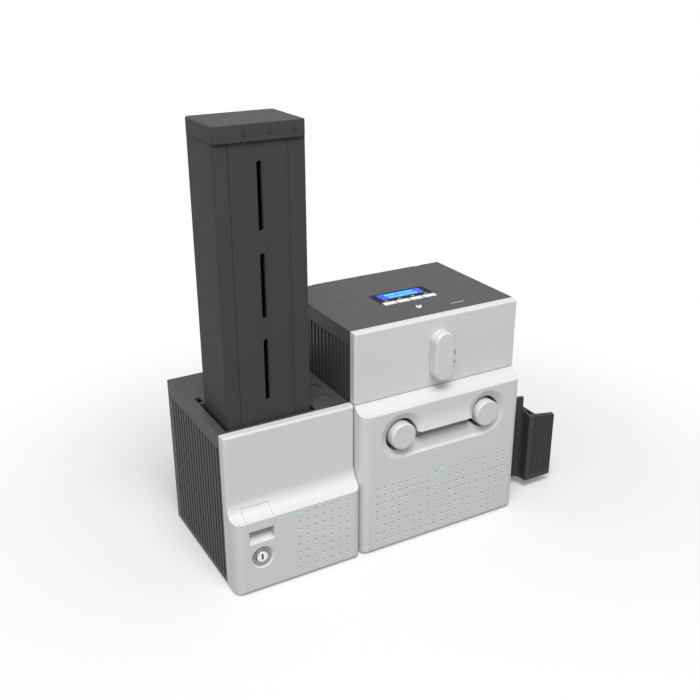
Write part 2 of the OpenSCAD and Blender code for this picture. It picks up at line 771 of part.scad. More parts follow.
module side_rail(x0, x1) {
  block([x0, rail_y0, rail_z0 - rail_lip], [x1, body_d - rail_end, rail_z0]);
  block([x0, rail_y0, rail_z1], [x1, body_d - rail_end, rail_z1 + rail_lip]);
}
knuckle_xs = [px0 + knuckle_inset, px1 - knuckle_inset - knuckle_w];
module printer_shell() {
  in_x0 = px0 + shell_t;
  in_x1 = px1 - shell_t;
  in_y1 = body_d - shell_t;
  color(dark) difference() {
    union() {
      difference() {
        block([px0, 0, 0], [px1, body_d, wall_top_z]);
        block([in_x0, -over, -over], [in_x1, in_y1, printer_h]);
        side_grooves(px0, 1, groove_foot, cover_z0 + over);
        side_grooves(px1, -1, groove_foot, cover_z0 + over);
        for (i = [0 : vent_count - 1])
          block([vent_x0 + i * vent_pitch, in_y1 - over, vent_z0],
                [vent_x0 + i * vent_pitch + vent_w, body_d + over, vent_z0 + vent_h]);
      }
      side_rail(in_x0, in_x0 + rail_in);
      side_rail(in_x1 - rail_in, in_x1);
      for (x = knuckle_xs) {
        block([x, in_y1, wall_top_z - over], [x + knuckle_w, body_d, cover_axis_z]);
        rod_x(cover_axis_y, cover_axis_z, knuckle_r, x, x + knuckle_w);
        rod_x(cover_axis_y, cover_axis_z, pin_r, x - knuckle_w / 2, x + 3 * knuckle_w / 2);
      }
    }
    card_slot(px0 - over, in_x0 + over);
    card_slot(in_x1 - over, px1 + over);
    tongue_notches(px0 - over, in_x0 + over);
    block([socket_x0, in_y1 - over, socket_z0], [socket_x1, body_d + over, socket_z1]);
  }
}

// White lower panel with its dimples
printer_dimple_cols = 19;
dimple_x0 = pcx - (printer_dimple_cols - 1) / 2 * dimple_pitch;
module lower_solid(inset, y1) {
  intersection() {
    drawn_x(px0 + inset, px1 - inset) difference() {
      translate([inset - lower_step, inset]) square([lower_step + over, lower_seam_z - gap - 2 * inset]);
      difference() {
        translate([inset - lower_step, inset]) square(sole_r);
        translate([inset - lower_step + sole_r, inset + sole_r]) circle(sole_r);
      }
    }
    linear_extrude(lower_seam_z) panel_plan(px0 + inset, px1 - inset, inset - lower_step, y1, bulge_r - inset);
  }
}
module lower_panel() {
  color(pale) difference() {
    lower_solid(0, 0);
    lower_solid(panel_t, over);
    dimples(dimple_x0, printer_dimple_cols, (printer_dimple_cols - 1) / 2);
    rod_y(pcx, dimple_top_z, lamp_r + fit, -lower_step - over, 0);
  }
}
module printer_lamp() { lamp(pcx, dimple_top_z); }

// Steel frame of the print station
mech_in = 16;
mech_x0 = px0 + mech_in;
mech_x1 = px1 - mech_in;
bridge_z = 212;
bridge_side_z0 = path_z + slot_h * 3;
roller_r = 8;
platen_r = 10;
entry_x = mech_x0 + roller_r + plate_t * 2;
exit_x = mech_x1 - roller_r - plate_t * 2;
roller_z = card_bottom - roller_r;
platen_z = card_bottom - platen_r;
entry_pulley_r = 9.6;
platen_pulley_r = 12;
drive_pulley_r = 9;
main_motor_x = pcx - knob_span / 3;
main_motor_z = 50;
roller_spots = [[entry_x, roller_z], [pcx, platen_z], [exit_x, roller_z]];
module roller_bores() {
  for (p = roller_spots) rod_y(p[0], p[1], shaft_r + fit, plate_front_y - over, plate_rear_y + plate_t + over);
}
module frame_front() {
  color(steel) difference() {
    block([mech_x0, plate_front_y, base_t], [mech_x1, plate_inner_y, floor_z]);
    roller_bores();
  }
}
module frame_rear() {
  color(steel) difference() {
    block([mech_x0, plate_rear_y, base_t], [mech_x1, plate_rear_y + plate_t, bridge_z]);
    roller_bores();
    rod_y(main_motor_x, main_motor_z, shaft_r + fit, plate_rear_y - over, plate_rear_y + plate_t + over);
  }
}
post_r = 3;
carriage_w = 32;
catch_x0 = 9;
catch_x1 = 22;
catch_z = 5.8;
catch_t = 4;
latch_arm_y0 = 1;
latch_arm_t = 3;
latch_arm_l = 20;
latch_shaft_r = 5;
catch_y0 = latch_arm_y0 - gap;
catch_y1 = plate_front_y + plate_t;
module head_bridge() {
  color(steel) difference() {
    union() {
      block([mech_x0, plate_inner_y, bridge_z], [mech_x1, plate_rear_y + plate_t, bridge_z + plate_t]);
      for (x = [mech_x0, mech_x1 - plate_t])
        block([x, plate_inner_y, bridge_side_z0], [x + plate_t, plate_rear_y, bridge_z]);
      block([pcx + catch_x0, catch_y1, bridge_z + plate_t],
            [pcx + catch_x1, catch_y1 + plate_t, latch_z + catch_z + catch_t]);
      block([pcx + catch_x0, catch_y0, latch_z + catch_z],
            [pcx + catch_x1, catch_y1 + plate_t, latch_z + catch_z + catch_t]);
    }
    for (y = [card_y + 2 * post_r, card_y + card_w - 2 * post_r])
      rod_z(pcx, y, post_r + fit, bridge_z - over, bridge_z + plate_t + over);
  }
}
head_rest_lift = 9;
head_rest_z = path_z + head_rest_lift;
head_travel = 4;
fin_w = 2;
fin_pitch = 4;
carriage_h = 58;
module head_carriage() {
  z0 = head_rest_z + 4 * plate_t;
  fin_count = 6;
  color(steel) difference() {
    union() {
      block([pcx - carriage_w / 2, card_y, z0], [pcx + carriage_w / 2, card_y + card_w, z0 + carriage_h]);
      for (y = [card_y + 2 * post_r, card_y + card_w - 2 * post_r])
        rod_z(pcx, y, post_r, z0 + carriage_h - over, bridge_z + 6 * plate_t);
    }
    for (i = [0 : fin_count - 1]) for (s = [-1, 1])
      block([pcx + s * carriage_w / 4 - carriage_w / 6, card_y - over, z0 + fin_pitch + i * 2 * fin_pitch],
            [pcx + s * carriage_w / 4 + carriage_w / 6, card_y + card_w + over, z0 + fin_pitch + i * 2 * fin_pitch + fin_pitch]);
  }
}
head_w = 14;
head_nose = 2;
module print_head() {
  color("saddlebrown")
    slab_y(card_y - head_nose / 2, card_y + card_w + head_nose / 2)
      polygon([[pcx - head_w / 2, head_rest_z + 4 * plate_t], [pcx + head_w / 2, head_rest_z + 4 * plate_t],
        [pcx + head_w / 2, head_rest_z + head_nose], [pcx + head_nose, head_rest_z],
        [pcx - head_nose, head_rest_z], [pcx - head_w / 2, head_rest_z + head_nose]]);
}
module platen_roller() { color(rubber_black) driven_roller(pcx, platen_z, platen_r, card_w + head_nose, platen_pulley_r); }
module entry_roller() { color(rubber_black) driven_roller(entry_x, roller_z, roller_r, card_w, entry_pulley_r); }
module exit_roller() { color(rubber_black) driven_roller(exit_x, roller_z, roller_r, card_w, entry_pulley_r); }
module main_motor() { color(steel) motor(main_motor_x, main_motor_z, plate_rear_y + plate_t); }
module drive_pulley() { color(steel) motor_pulley(main_motor_x, main_motor_z, plate_rear_y + plate_t, drive_pulley_r); }
module drive_belt() {
  color(rubber_black) belt([[entry_x, roller_z, entry_pulley_r], [pcx, platen_z, platen_pulley_r],
    [exit_x, roller_z, entry_pulley_r], [main_motor_x, main_motor_z, drive_pulley_r]]);
}

// Electronics behind the mechanism
board_z = 8;
board_t = 1.6;
board_side = 16;
board_back = 4;
board_x0 = px0 + shell_t + board_side;
belt_room = 8;
board_y0 = belt_y0 + belt_w + belt_room;
board_y1 = body_d - shell_t - board_back;
supply_l = 84;
supply_h = 46;
supply_side = 12;
supply_back = 20;
supply_y0 = board_y0;
supply_y1 = body_d - shell_t - supply_back;
supply_x1 = px1 - shell_t - supply_side;
supply_x0 = supply_x1 - supply_l;
board_gap = 7;
board_x1 = supply_x0 - board_gap;
// Places of the board's parts along it
chip_share = 0.72;
chip_h = 1.6;
can_share = [0.12, 0.3, 0.48];
can_row_share = 0.62;
can_r = 5;
can_h = 15;
module main_board() {
  inset = 5;
  chip_count = 4;
  chip_pitch = (board_x1 - board_x0 - 2 * inset) / chip_count;
  color("seagreen") union() {
    block([board_x0, board_y0, board_z], [board_x1, board_y1, board_z + board_t]);
    for (x = [board_x0 + inset, board_x1 - inset]) for (y = [board_y0 + inset, board_y1 - inset])
      rod_z(x, y, shaft_r, base_t, board_z);
    for (i = [0 : chip_count - 1])
      block([board_x0 + inset + i * chip_pitch, board_y0 + 2 * inset, board_z + board_t],
            [board_x0 + inset + (i + chip_share) * chip_pitch, board_y0 + 5 * inset, board_z + board_t + chip_h]);
    for (s = can_share)
      rod_z(board_x0 + (board_x1 - board_x0) * s, board_y0 + (board_y1 - board_y0) * can_row_share, can_r,
            board_z, board_z + can_h);
  }
}
module power_supply() {
  slot = 3;
  slot_count = 9;
  slot_pitch = (supply_l - 2 * slot) / slot_count;
  color(steel) difference() {
    block([supply_x0, supply_y0, base_t], [supply_x1, supply_y1, base_t + supply_h]);
    for (i = [0 : slot_count - 1])
      block([supply_x0 + 2 * slot + i * slot_pitch, supply_y0 + 2 * slot, base_t + supply_h - slot],
            [supply_x0 + 3 * slot + i * slot_pitch, supply_y1 - 2 * slot, base_t + supply_h + over]);
  }
}

// Rear sockets: power inlet, two data sockets and the opening for the power switch
inlet_w = 27;
inlet_h = 20;
inlet_depth = 16;
port_w = 12;
port_h = 11;
port_depth = 9;
prong_w = 4;
prong_t = 1.6;
prong_l = 8;
switch_w = 13;
switch_h = 21;
switch_room = 0.6;
socket_cz = (socket_z0 + socket_z1) / 2;
inlet_edge = 6;
switch_gap = 4;
port_edge = 3;
port_pitch = 16.5;
inlet_x = socket_x1 - inlet_edge - inlet_w / 2;
switch_x = inlet_x - inlet_w / 2 - switch_gap - switch_w / 2;
port_x = socket_x0 + port_edge + port_w / 2;
switch_depth = 12;
switch_pin_l = 3;
module rear_sockets() {
  back = body_d;
  color(rubber_black) union() {
    difference() {
      block([socket_x0 + fit, back - socket_d, socket_z0 + fit], [socket_x1 - fit, back, socket_z1 - fit]);
      block([inlet_x - inlet_w / 2, back - inlet_depth, socket_cz - inlet_h / 2],
            [inlet_x + inlet_w / 2, back + over, socket_cz + inlet_h / 2]);
      block([switch_x - switch_w / 2 - switch_room, back - switch_depth, socket_cz - switch_h / 2 - switch_room],
            [switch_x + switch_w / 2 + switch_room, back + over, socket_cz + switch_h / 2 + switch_room]);
      for (s = [-1, 1])
        block([port_x - port_w / 2, back - port_depth, socket_cz + (s * port_pitch - port_h) / 2],
              [port_x + port_w / 2, back + over, socket_cz + (s * port_pitch + port_h) / 2]);
      rod_x(back - switch_depth / 2, socket_cz, pin_r + fit, switch_x - switch_w / 2 - switch_pin_l,
            switch_x + switch_w / 2 + switch_pin_l);
    }
    for (dx = [-1, 0, 1]) {
      prong_z = socket_cz - (dx == 0 ? prong_w : 0);
      block([inlet_x + dx * prong_w * 2 - prong_t / 2, back - inlet_depth - over, prong_z - prong_w / 2],
            [inlet_x + dx * prong_w * 2 + prong_t / 2, back - inlet_depth + prong_l, prong_z + prong_w / 2]);
    }
  }
}
switch_tip = 2.4;
rocker_t = 3;
module power_switch() {
  y = body_d - switch_depth / 2;
  half = switch_h / 2 - over;
  color(rubber_black) union() {
    drawn_x(switch_x - switch_w / 2, switch_x + switch_w / 2)
      polygon([[y - rocker_t, -half / 2 + socket_cz], [y - rocker_t, half / 2 + socket_cz],
        [body_d - 2 * switch_tip, half + socket_cz], [body_d - switch_tip - over, socket_cz],
        [body_d, socket_cz - half]]);
    rod_x(y, socket_cz, pin_r, switch_x - switch_w / 2 - switch_pin_l + gap, switch_x + switch_w / 2 + switch_pin_l - gap);
  }
}

// Ribbon cassette: a drawer with a moulded front, two knobs and two spools
supply_x = pcx - knob_span / 2;
takeup_x = pcx + knob_span / 2;
shoulder_drop = upper_seam_z - gap - printer_ledge_z;
shoulder_r = (ledge_r * ledge_r + shoulder_drop * shoulder_drop) / (2 * shoulder_drop);
recess_d = 3;
ring_t = 3;
pocket_back = 24;
grip_z = 161;
lip_top_z = 185;
grip_slot_z = 146;
lip_t = 3;
// Radius of the lip's concave front, flush at its top and proud at its edge
lip_rise = lip_top_z - grip_z;
lip_r = (lip_rise * lip_rise + knob_proud * knob_proud) / (2 * knob_proud);
module cassette_solid(inset, y1) {
  z0 = lower_seam_z;
  z1 = upper_seam_z - gap;
  intersection() {
    drawn_x(px0 + inset, px1 - inset) difference() {
      translate([inset - lower_step, z0 + inset]) square([lower_step + over, z1 - z0 - 2 * inset]);
      intersection() {
        translate([-lower_step, printer_ledge_z + shoulder_r]) circle(shoulder_r + inset);
        translate([-lower_step - over, z0]) square([ledge_r + inset + over, z1 - z0 + over]);
      }
    }
    translate([0, 0, z0]) linear_extrude(z1 - z0 + over)
      panel_plan(px0 + inset, px1 - inset, inset - lower_step, y1, bulge_r - inset);
  }
}
// Cone that leads into a knob's hole, from the radius r1 at y0 over the length h
module knob_lead(x, y0, r1, h) {
  translate([x, y0, knob_z]) rotate([-90, 0, 0]) cylinder(r1 = r1, r2 = r1 - recess_r + knob_hole_r, h = h);
}
module grip_lower_profile(depth) {
  polygon([[-lower_step - over, knob_z - recess_r - over], [-lower_step, knob_z - recess_r],
    [-lower_step + recess_d + panel_t, grip_slot_z], [-lower_step + depth, grip_slot_z],
    [-lower_step + depth, grip_z], [-lower_step - over, grip_z]]);
}
module lip_profile() {
  difference() {
    translate([-lower_step - knob_proud, grip_z]) square([knob_proud + recess_d + lip_t, lip_rise]);
    translate([-lower_step - lip_r, lip_top_z]) circle(lip_r, $fn = 144);
  }
}
module cassette_front() {
  slot_depth = pocket_back - 2 * ring_t;
  color(pale) difference() {
    union() {
      difference() {
        union() {
          difference() {
            cassette_solid(0, -gap);
            cassette_solid(panel_t, over);
          }
          for (x = [supply_x, takeup_x]) {
            knob_lead(x, -lower_step, recess_r + ring_t, recess_d);
            rod_y(x, knob_z, knob_hole_r + ring_t, -lower_step + recess_d, -lower_step + pocket_back);
          }
          block([supply_x, -lower_step, knob_z - recess_r - ring_t],
                [takeup_x, -lower_step + slot_depth + ring_t, grip_z + lip_t]);
        }
        for (x = [supply_x, takeup_x]) knob_lead(x, -lower_step, recess_r, recess_d);
        drawn_x(supply_x, takeup_x) grip_lower_profile(slot_depth);
      }
      drawn_x(supply_x + knob_hole_r, takeup_x - knob_hole_r) lip_profile();
    }
    for (x = [supply_x, takeup_x]) {
      knob_lead(x, -lower_step - knob_proud, recess_r, knob_proud);
      rod_y(x, knob_z, knob_hole_r, -lower_step - over - knob_proud, -lower_step + pocket_back + over);
    }
  }
}
knob_back = 17;
knob_edge = 1.5;
cassette_shaft_r = 4;
cassette_plate_y = -lower_step + pocket_back;
spool_y1 = plate_rear_y - 3 * plate_t;
module knob(x) {
  y0 = -lower_step - knob_proud;
  difference() {
    union() {
      translate([x, y0, knob_z]) rotate([-90, 0, 0]) cylinder(r1 = knob_r - knob_edge, r2 = knob_r, h = knob_edge);
      rod_y(x, knob_z, knob_r, y0 + knob_edge, y0 + knob_back);
    }
    rod_y(x, knob_z, cassette_shaft_r, y0 + 3 * knob_edge, y0 + knob_back + over);
  }
}
module supply_knob() { color(pale) knob(supply_x); }
module takeup_knob() { color(pale) knob(takeup_x); }
flange_r = 19;
core_r = 9;
film_room = 1;
module spool(x, roll_r) {
  y0 = -lower_step - knob_proud + 3 * knob_edge;
  ribbon_y0 = card_y - plate_t;
  ribbon_y1 = card_y + card_w + plate_t;
  rod_y(x, knob_z, cassette_shaft_r, y0, spool_y1 + 2 * plate_t);
  rod_y(x, knob_z, core_r, ribbon_y0 - plate_t, ribbon_y1 + plate_t);
  rod_y(x, knob_z, flange_r, ribbon_y0 - plate_t, ribbon_y0);
  rod_y(x, knob_z, flange_r, ribbon_y1 - plate_t / 2, ribbon_y1 + plate_t / 2);
  rod_y(x, knob_z, roll_r, ribbon_y0, ribbon_y1 - plate_t / 2);
}
module supply_spool() { color(film_tint) spool(supply_x, ribbon_r); }
module takeup_spool() { color(dark) spool(takeup_x, core_r + 2 * film_room); }

// Frame of the cassette: front and rear bearing plates, two runner arms and two film bars
arm_x0 = px0 + shell_t + gap + gap;
arm_x1 = px1 - shell_t - gap - gap;
frame_low_z = path_z + slot_h;
frame_high_z = upper_seam_z - gap - 3 * panel_t;
film_lift = 4.5;
film_z = path_z + film_lift;
bar_r = 2.5;
bar_side = 28;
bar_x = knob_span / 2 - bar_side;
film_t = 0.3;
carrier_x0 = mech_x0 + 5 * plate_t;
carrier_x1 = mech_x1 - 5 * plate_t;
window_half = carriage_w / 2 + 3 * plate_t;
carrier_t = 3;
module cassette_frame() {
  rear_y1 = plate_rear_y - gap - fit;
  rear_y0 = rear_y1 - carrier_t;
  color(dark) difference() {
    union() {
      block([arm_x0, cassette_plate_y, frame_low_z], [arm_x1, cassette_plate_y + carrier_t, frame_high_z]);
      block([carrier_x0, rear_y0, frame_low_z], [carrier_x1, rear_y1, frame_high_z]);
      for (x = [carrier_x0, carrier_x1 - carrier_t])
        block([x, cassette_plate_y, knob_z - arm_h / 2], [x + carrier_t, rear_y1, knob_z + arm_h / 2]);
      for (x = [arm_x0, arm_x1 - arm_t])
        block([x, cassette_plate_y, knob_z - arm_h / 2], [x + arm_t, body_d - shell_t - over, knob_z + arm_h / 2]);
      for (s = [-1, 1]) rod_y(pcx + s * bar_x, film_z + bar_r + film_t, bar_r, cassette_plate_y, rear_y1);
    }
    for (x = [supply_x, takeup_x])
      rod_y(x, knob_z, cassette_shaft_r + fit, cassette_plate_y - over, rear_y1 + over);
    block([pcx - window_half, rear_y0 - over, frame_low_z - over], [pcx + window_half, rear_y1 + over, frame_high_z + over]);
  }
}
// Film from under the supply roll, under both bars and up under the take-up core
takeup_r = core_r + 2 * film_room;
bar_drop = knob_z - film_z;
function film_angle(dx, r) = atan2(-bar_drop, dx) - acos(r / sqrt(dx * dx + bar_drop * bar_drop));
module film_run(x0, z0, x1, z1) {
  l = sqrt((x1 - x0) * (x1 - x0) + (z1 - z0) * (z1 - z0));
  nx = -(z1 - z0) / l * film_t;
  nz = (x1 - x0) / l * film_t;
  polygon([[x0, z0], [x1, z1], [x1 - nx, z1 - nz], [x0 - nx, z0 - nz]]);
}
module ribbon_film() {
  bar_dx = knob_span / 2 - bar_x;
  r0 = ribbon_r + gap + film_t;
  r1 = takeup_r + gap + film_t;
  a0 = film_angle(bar_dx, r0);
  a1 = film_angle(bar_dx, r1);
  color(film_tint) slab_y(card_y - plate_t, card_y + card_w) union() {
    film_run(supply_x + r0 * cos(a0), knob_z + r0 * sin(a0), supply_x + bar_dx, film_z);
    translate([supply_x + bar_dx, film_z - film_t]) square([2 * bar_x, film_t]);
    film_run(takeup_x - bar_dx, film_z, takeup_x - r1 * cos(a1), knob_z + r1 * sin(a1));
  }
}

// Top cover with its display and keys
cover_edge_r = 2;
key_zone = 0.3;
keys_y0 = 54.5;
keys_d = 8.5;
key_l = 18.6;
key_pitch = 20.6;
key_proud = 0.8;
key_travel = 1;
flange = 1;
flange_t = 1.2;
stem_w = 4;
display_shift = 0.75;
display_cx = pcx + display_shift;
display_y0 = keys_y0 + keys_d + 2 * gap;
display_y1 = display_y0 + display_d;
key_x0 = display_cx - 2 * key_pitch + (key_pitch - key_l) / 2;
button_shift = 3.5;
button_x = pcx - button_shift;
button_y = 31;
button_r = 4.2;
button_dish_r = 8;
button_dish_d = 1;
pcb_drop = 7;
pcb_z0 = cover_axis_z - pcb_drop;
pcb_t = 1.6;
pcb_over = 9;
module key_opening(i) {
  x = key_x0 + i * key_pitch;
  block([x - key_zone, keys_y0 - key_zone, cover_axis_z - over], [x + key_l + key_zone, keys_y0 + keys_d + key_zone, printer_h + over]);
}
module top_cover() {
  y0 = -gap;
  in_x0 = px0 + shell_t;
  in_x1 = px1 - shell_t;
  in_y1 = body_d - shell_t;
  color(dark) difference() {
    union() {
      difference() {
        intersection() {
          block([px0, y0, cover_z0], [px1, body_d, printer_h]);
          drawn_x(px0, px1) union() {
            translate([y0, cover_z0]) square([body_d - y0, band_h - cover_edge_r]);
            translate([y0, printer_h - cover_edge_r - over]) square([body_d - y0 - cover_edge_r, cover_edge_r + over]);
            translate([body_d - cover_edge_r, printer_h - cover_edge_r]) circle(cover_edge_r);
          }
        }
        block([in_x0, y0 - over, cover_z0 - over], [in_x1, in_y1, cover_axis_z]);
      }
      for (x = knuckle_xs) for (dx = [-knuckle_w / 2 - gap - shell_t, knuckle_w + gap + gap])
        rod_x(cover_axis_y, cover_axis_z, knuckle_r, x + dx, x + dx + knuckle_w / 2 + shell_t - gap);
      for (x = [display_cx - display_w / 2 - pcb_over / 2, display_cx + display_w / 2 + pcb_over / 2])
        for (y = [button_y - button_dish_r, display_y1 + pcb_over / 2])
          rod_z(x, y, shaft_r, pcb_z0 + pcb_t, cover_axis_z + over);
    }
    for (x = knuckle_xs) {
      block([x - gap, in_y1 - knuckle_r - gap, cover_z0 - over], [x + knuckle_w + gap, body_d + over, printer_h + over]);
      rod_x(cover_axis_y, cover_axis_z, pin_r + fit, x - knuckle_w, x + 2 * knuckle_w);
    }
    block([display_cx - display_w / 2, display_y0, cover_axis_z - over], [display_cx + display_w / 2, display_y1, printer_h + over]);
    for (i = [0 : 3]) key_opening(i);
    rod_z(button_x, button_y, button_r + key_zone, cover_axis_z - over, printer_h + over);
    translate([button_x, button_y, printer_h - button_dish_d])
      cylinder(r1 = button_r + key_zone, r2 = button_dish_r, h = button_dish_d);
  }
}
glass_w = 67;
glass_d = 19.5;
bezel_h = 0.6;
glass_drop = 0.5;
module display() {
  color([0.1, 0.2, 0.7]) difference() {
    union() {
      block([display_cx - display_w / 2 + fit, display_y0 + fit, pcb_z0 + pcb_t],
            [display_cx + display_w / 2 - fit, display_y1 - fit, printer_h + bezel_h]);
      block([display_cx - display_w / 2 - pcb_over, button_y - button_dish_r - pcb_over, pcb_z0],
            [display_cx + display_w / 2 + pcb_over, display_y1 + pcb_over, pcb_z0 + pcb_t]);
    }
    block([display_cx - glass_w / 2, display_y1 - glass_d - 2 * stem_w / 3, printer_h + bezel_h - glass_drop],
          [display_cx + glass_w / 2, display_y1 - 2 * stem_w / 3, printer_h + bezel_h + over]);
  }
}
module key(i) {
  x = key_x0 + i * key_pitch;
  yc = keys_y0 + keys_d / 2;
  color(pale) union() {
    block([x, keys_y0, cover_axis_z - gap - over], [x + key_l, keys_y0 + keys_d, printer_h + key_proud]);
    block([x - flange / 2 - key_zone, keys_y0 - flange - key_zone, cover_axis_z - gap - flange_t],
          [x + key_l + flange / 2 + key_zone, keys_y0 + keys_d - flange, cover_axis_z - gap]);
    rod_z(x + key_l / 2, yc, stem_w / 2, pcb_z0 + pcb_t + key_travel + gap, cover_axis_z - gap - flange_t);
  }
}
module key_1() { key(0); }
module key_2() { key(1); }
module key_3() { key(2); }
module key_4() { key(3); }
module round_button() {
  color(pale) union() {
    rod_z(button_x, button_y, button_r, cover_axis_z - gap - over, printer_h + key_proud);
    rod_z(button_x, button_y, button_r + flange + key_zone, cover_axis_z - gap - flange_t, cover_axis_z - gap);
    rod_z(button_x, button_y, stem_w / 2, pcb_z0 + pcb_t + key_travel + gap, cover_axis_z - gap - flange_t);
  }
}

// White upper panel, part of the cover
module upper_solid(inset, y1) {
  intersection() {
    drawn_x(px0 + inset, px1 - inset)
      top_edge_profile(upper_seam_z + gap + inset, printer_h, inset);
    linear_extrude(printer_h) panel_plan(px0 + inset, px1 - inset, inset - upper_step, y1, edge_r);
  }
}
module cover_front() {
  color(pale) difference() {
    upper_solid(0, -gap);
    upper_solid(panel_t, over);
    rod_y(pcx, latch_z, latch_shaft_r + fit, -upper_step - over, 0);
  }
}
latch_face_in = 3.5;
latch_straight = 10;
module latch_outline(w, l) {
  translate([pcx, latch_z]) rotate([0, 0, 90]) stadium_x(-(l - w) / 2, (l - w) / 2, 0, w / 2);
}
module latch_knob() {
  y0 = -upper_step - latch_out;
  y1 = -upper_step - gap;
  color(pale) union() {
    hull() {
      slab_y(y0, y0 + over) latch_outline(latch_w - 2 * latch_face_in, latch_length - 2 * latch_face_in, $fn = 32);
      slab_y(y1 - latch_straight, y1) latch_outline(latch_w, latch_length, $fn = 32);
    }
    rod_y(pcx, latch_z, latch_shaft_r, y1 - over, latch_arm_y0 + latch_arm_t);
    block([pcx - latch_shaft_r, latch_arm_y0, latch_z - latch_arm_l],
          [pcx + latch_shaft_r, latch_arm_y0 + latch_arm_t, latch_z]);
  }
}

// Output tray: a bin under the card exit with a lower, ribbed finger well in front
tray_z0 = 10;
tray_y0 = slot_y0 - tray_t;
tray_y1 = slot_y1 + tray_t;
tray_well_y = -5;
well_x0 = tray_x1 - well_w;
// The well's rim falls outwards and rises towards the bin
rim_fall_share = 0.16;
rim_rise_share = 0.3;
// The well's front wall is thicker than the other walls
well_wall_share = 1.6;
tray_groove_w = 2.2;
tray_groove_d = 1.2;
tray_groove_count = 8;
tray_bar = 9;
tray_floor_band = 7;
tray_fillet_r = 8;
exit_lip_z = path_z - slot_h;
module tray_plan(inset) {
  x0 = well_x0 + inset;
  y0 = tray_y0 + inset;
  translate([px1 + inset, y0]) square([tray_length - 2 * inset, tray_y1 - tray_y0 - 2 * inset]);
  well_y0 = tray_well_y + inset * well_wall_share;
  translate([x0, well_y0]) square([well_w - 2 * inset, tray_y1 - inset - well_y0]);
  difference() {
    translate([x0 - tray_fillet_r, y0 - tray_fillet_r]) square(2 * tray_fillet_r);
    translate([x0 - tray_fillet_r, y0 - tray_fillet_r]) circle(tray_fillet_r);
  }
}
module output_tray() {
  pitch = (well_w - tray_bar) / tray_groove_count;
  color(dark) difference() {
    translate([0, 0, tray_z0]) linear_extrude(tray_rim_z - tray_z0) tray_plan(0);
    translate([0, 0, tray_z0 + tray_t]) linear_extrude(tray_rim_z) tray_plan(tray_t);
    block([px1 - over, slot_y0, exit_lip_z], [px1 + tray_t + over, slot_y1, tray_rim_z + over]);
    // Everything over the well's sloping rim, as far back as the bin's front wall
    multmatrix([[1, 0, 0, 0], [0, 1, 0, 0], [-rim_fall_share, rim_rise_share, 1,
      rim_fall_share * well_x0 - rim_rise_share * tray_well_y], [0, 0, 0, 1]])
      block([well_x0 - over, tray_well_y - over, well_rim_z], [tray_x1 + over, tray_y0, tray_rim_z + tray_rim_z]);
    block([well_x0 + tray_t, tray_well_y + tray_t * well_wall_share, end_wall_z],
          [tray_x1 + over, slot_y1, tray_rim_z + over]);
    // The rear wall falls from the bin's rim to the low end wall
    slab_y(slot_y1 - over, tray_y1 + over)
      polygon([[well_x0, tray_rim_z], [tray_x1, end_wall_z], [tray_x1 + over, end_wall_z],
        [tray_x1 + over, tray_rim_z + over], [well_x0, tray_rim_z + over]]);
    for (i = [0 : tray_groove_count - 1])
      block([well_x0 + tray_bar + i * pitch, tray_well_y - over, tray_z0 + tray_floor_band],
            [well_x0 + tray_bar + i * pitch + tray_groove_w, tray_well_y + tray_groove_d, tray_rim_z]);
  }
}

placed() hopper_shell();
placed() hopper_base();
placed() hopper_frame();
placed() card_floor();
placed() feet();
placed() hopper_door();
placed() latch_lever();
placed() lock_barrel();
placed() lock_plug();
placed() hopper_lamp();
placed() tower_column();
placed() tower_back();
placed() tower_side();
placed() shutter();
placed() tower_cap();
placed() cap_screws();
placed() card_weight();
placed() pick_roller();
placed() feed_roller();
placed() pick_motor();
placed() pick_pulley();
placed() pick_belt();
placed() printer_shell();
placed() printer_base();
placed() lower_panel();
placed() printer_lamp();
placed() frame_front();
placed() frame_rear();
placed() head_bridge();
placed() cassette_front();
placed() cassette_frame();
placed() supply_knob();
placed() supply_spool();
placed() takeup_knob();
placed() takeup_spool();
placed() ribbon_film();
placed() head_carriage();
placed() print_head();
placed() platen_roller();
placed() entry_roller();
placed() exit_roller();
placed() main_motor();
placed() drive_pulley();
placed() drive_belt();
placed() main_board();
placed() power_supply();
placed() rear_sockets();
placed() power_switch();
placed() top_cover();
placed() cover_front();
placed() latch_knob();
placed() display();
placed() key_1();
placed() key_2();
placed() key_3();
placed() key_4();
placed() round_button();
placed() output_tray();
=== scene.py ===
import json
import math
import random

import bmesh
import bpy
from mathutils import Matrix, Vector
from mathutils.geometry import delaunay_2d_cdt


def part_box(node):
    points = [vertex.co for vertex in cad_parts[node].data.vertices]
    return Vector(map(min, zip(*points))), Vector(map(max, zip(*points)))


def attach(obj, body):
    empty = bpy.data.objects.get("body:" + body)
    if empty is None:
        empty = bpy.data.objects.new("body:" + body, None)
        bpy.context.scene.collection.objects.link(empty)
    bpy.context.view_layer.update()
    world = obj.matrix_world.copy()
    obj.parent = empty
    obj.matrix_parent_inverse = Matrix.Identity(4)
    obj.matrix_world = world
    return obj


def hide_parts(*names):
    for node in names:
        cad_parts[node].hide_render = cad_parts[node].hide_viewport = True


# The card printer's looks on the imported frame. Sizes are millimetres from the hopper's lower
# left front corner, as in the part's source, and at() turns them into the frame's metres.
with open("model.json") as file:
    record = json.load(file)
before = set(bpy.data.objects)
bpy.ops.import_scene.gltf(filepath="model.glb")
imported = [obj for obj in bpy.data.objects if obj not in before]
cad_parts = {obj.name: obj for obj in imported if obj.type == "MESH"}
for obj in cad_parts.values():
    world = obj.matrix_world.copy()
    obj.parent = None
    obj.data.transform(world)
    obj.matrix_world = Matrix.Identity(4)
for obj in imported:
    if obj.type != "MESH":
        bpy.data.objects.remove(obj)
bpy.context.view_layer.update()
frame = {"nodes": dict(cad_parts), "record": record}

MM = 0.001
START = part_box("hopper_shell")[0]
NODES = frame["nodes"]
BODY_OF = {n: b for b, ns in frame["record"]["behaviour"]["bodies"].items() for n in ns}


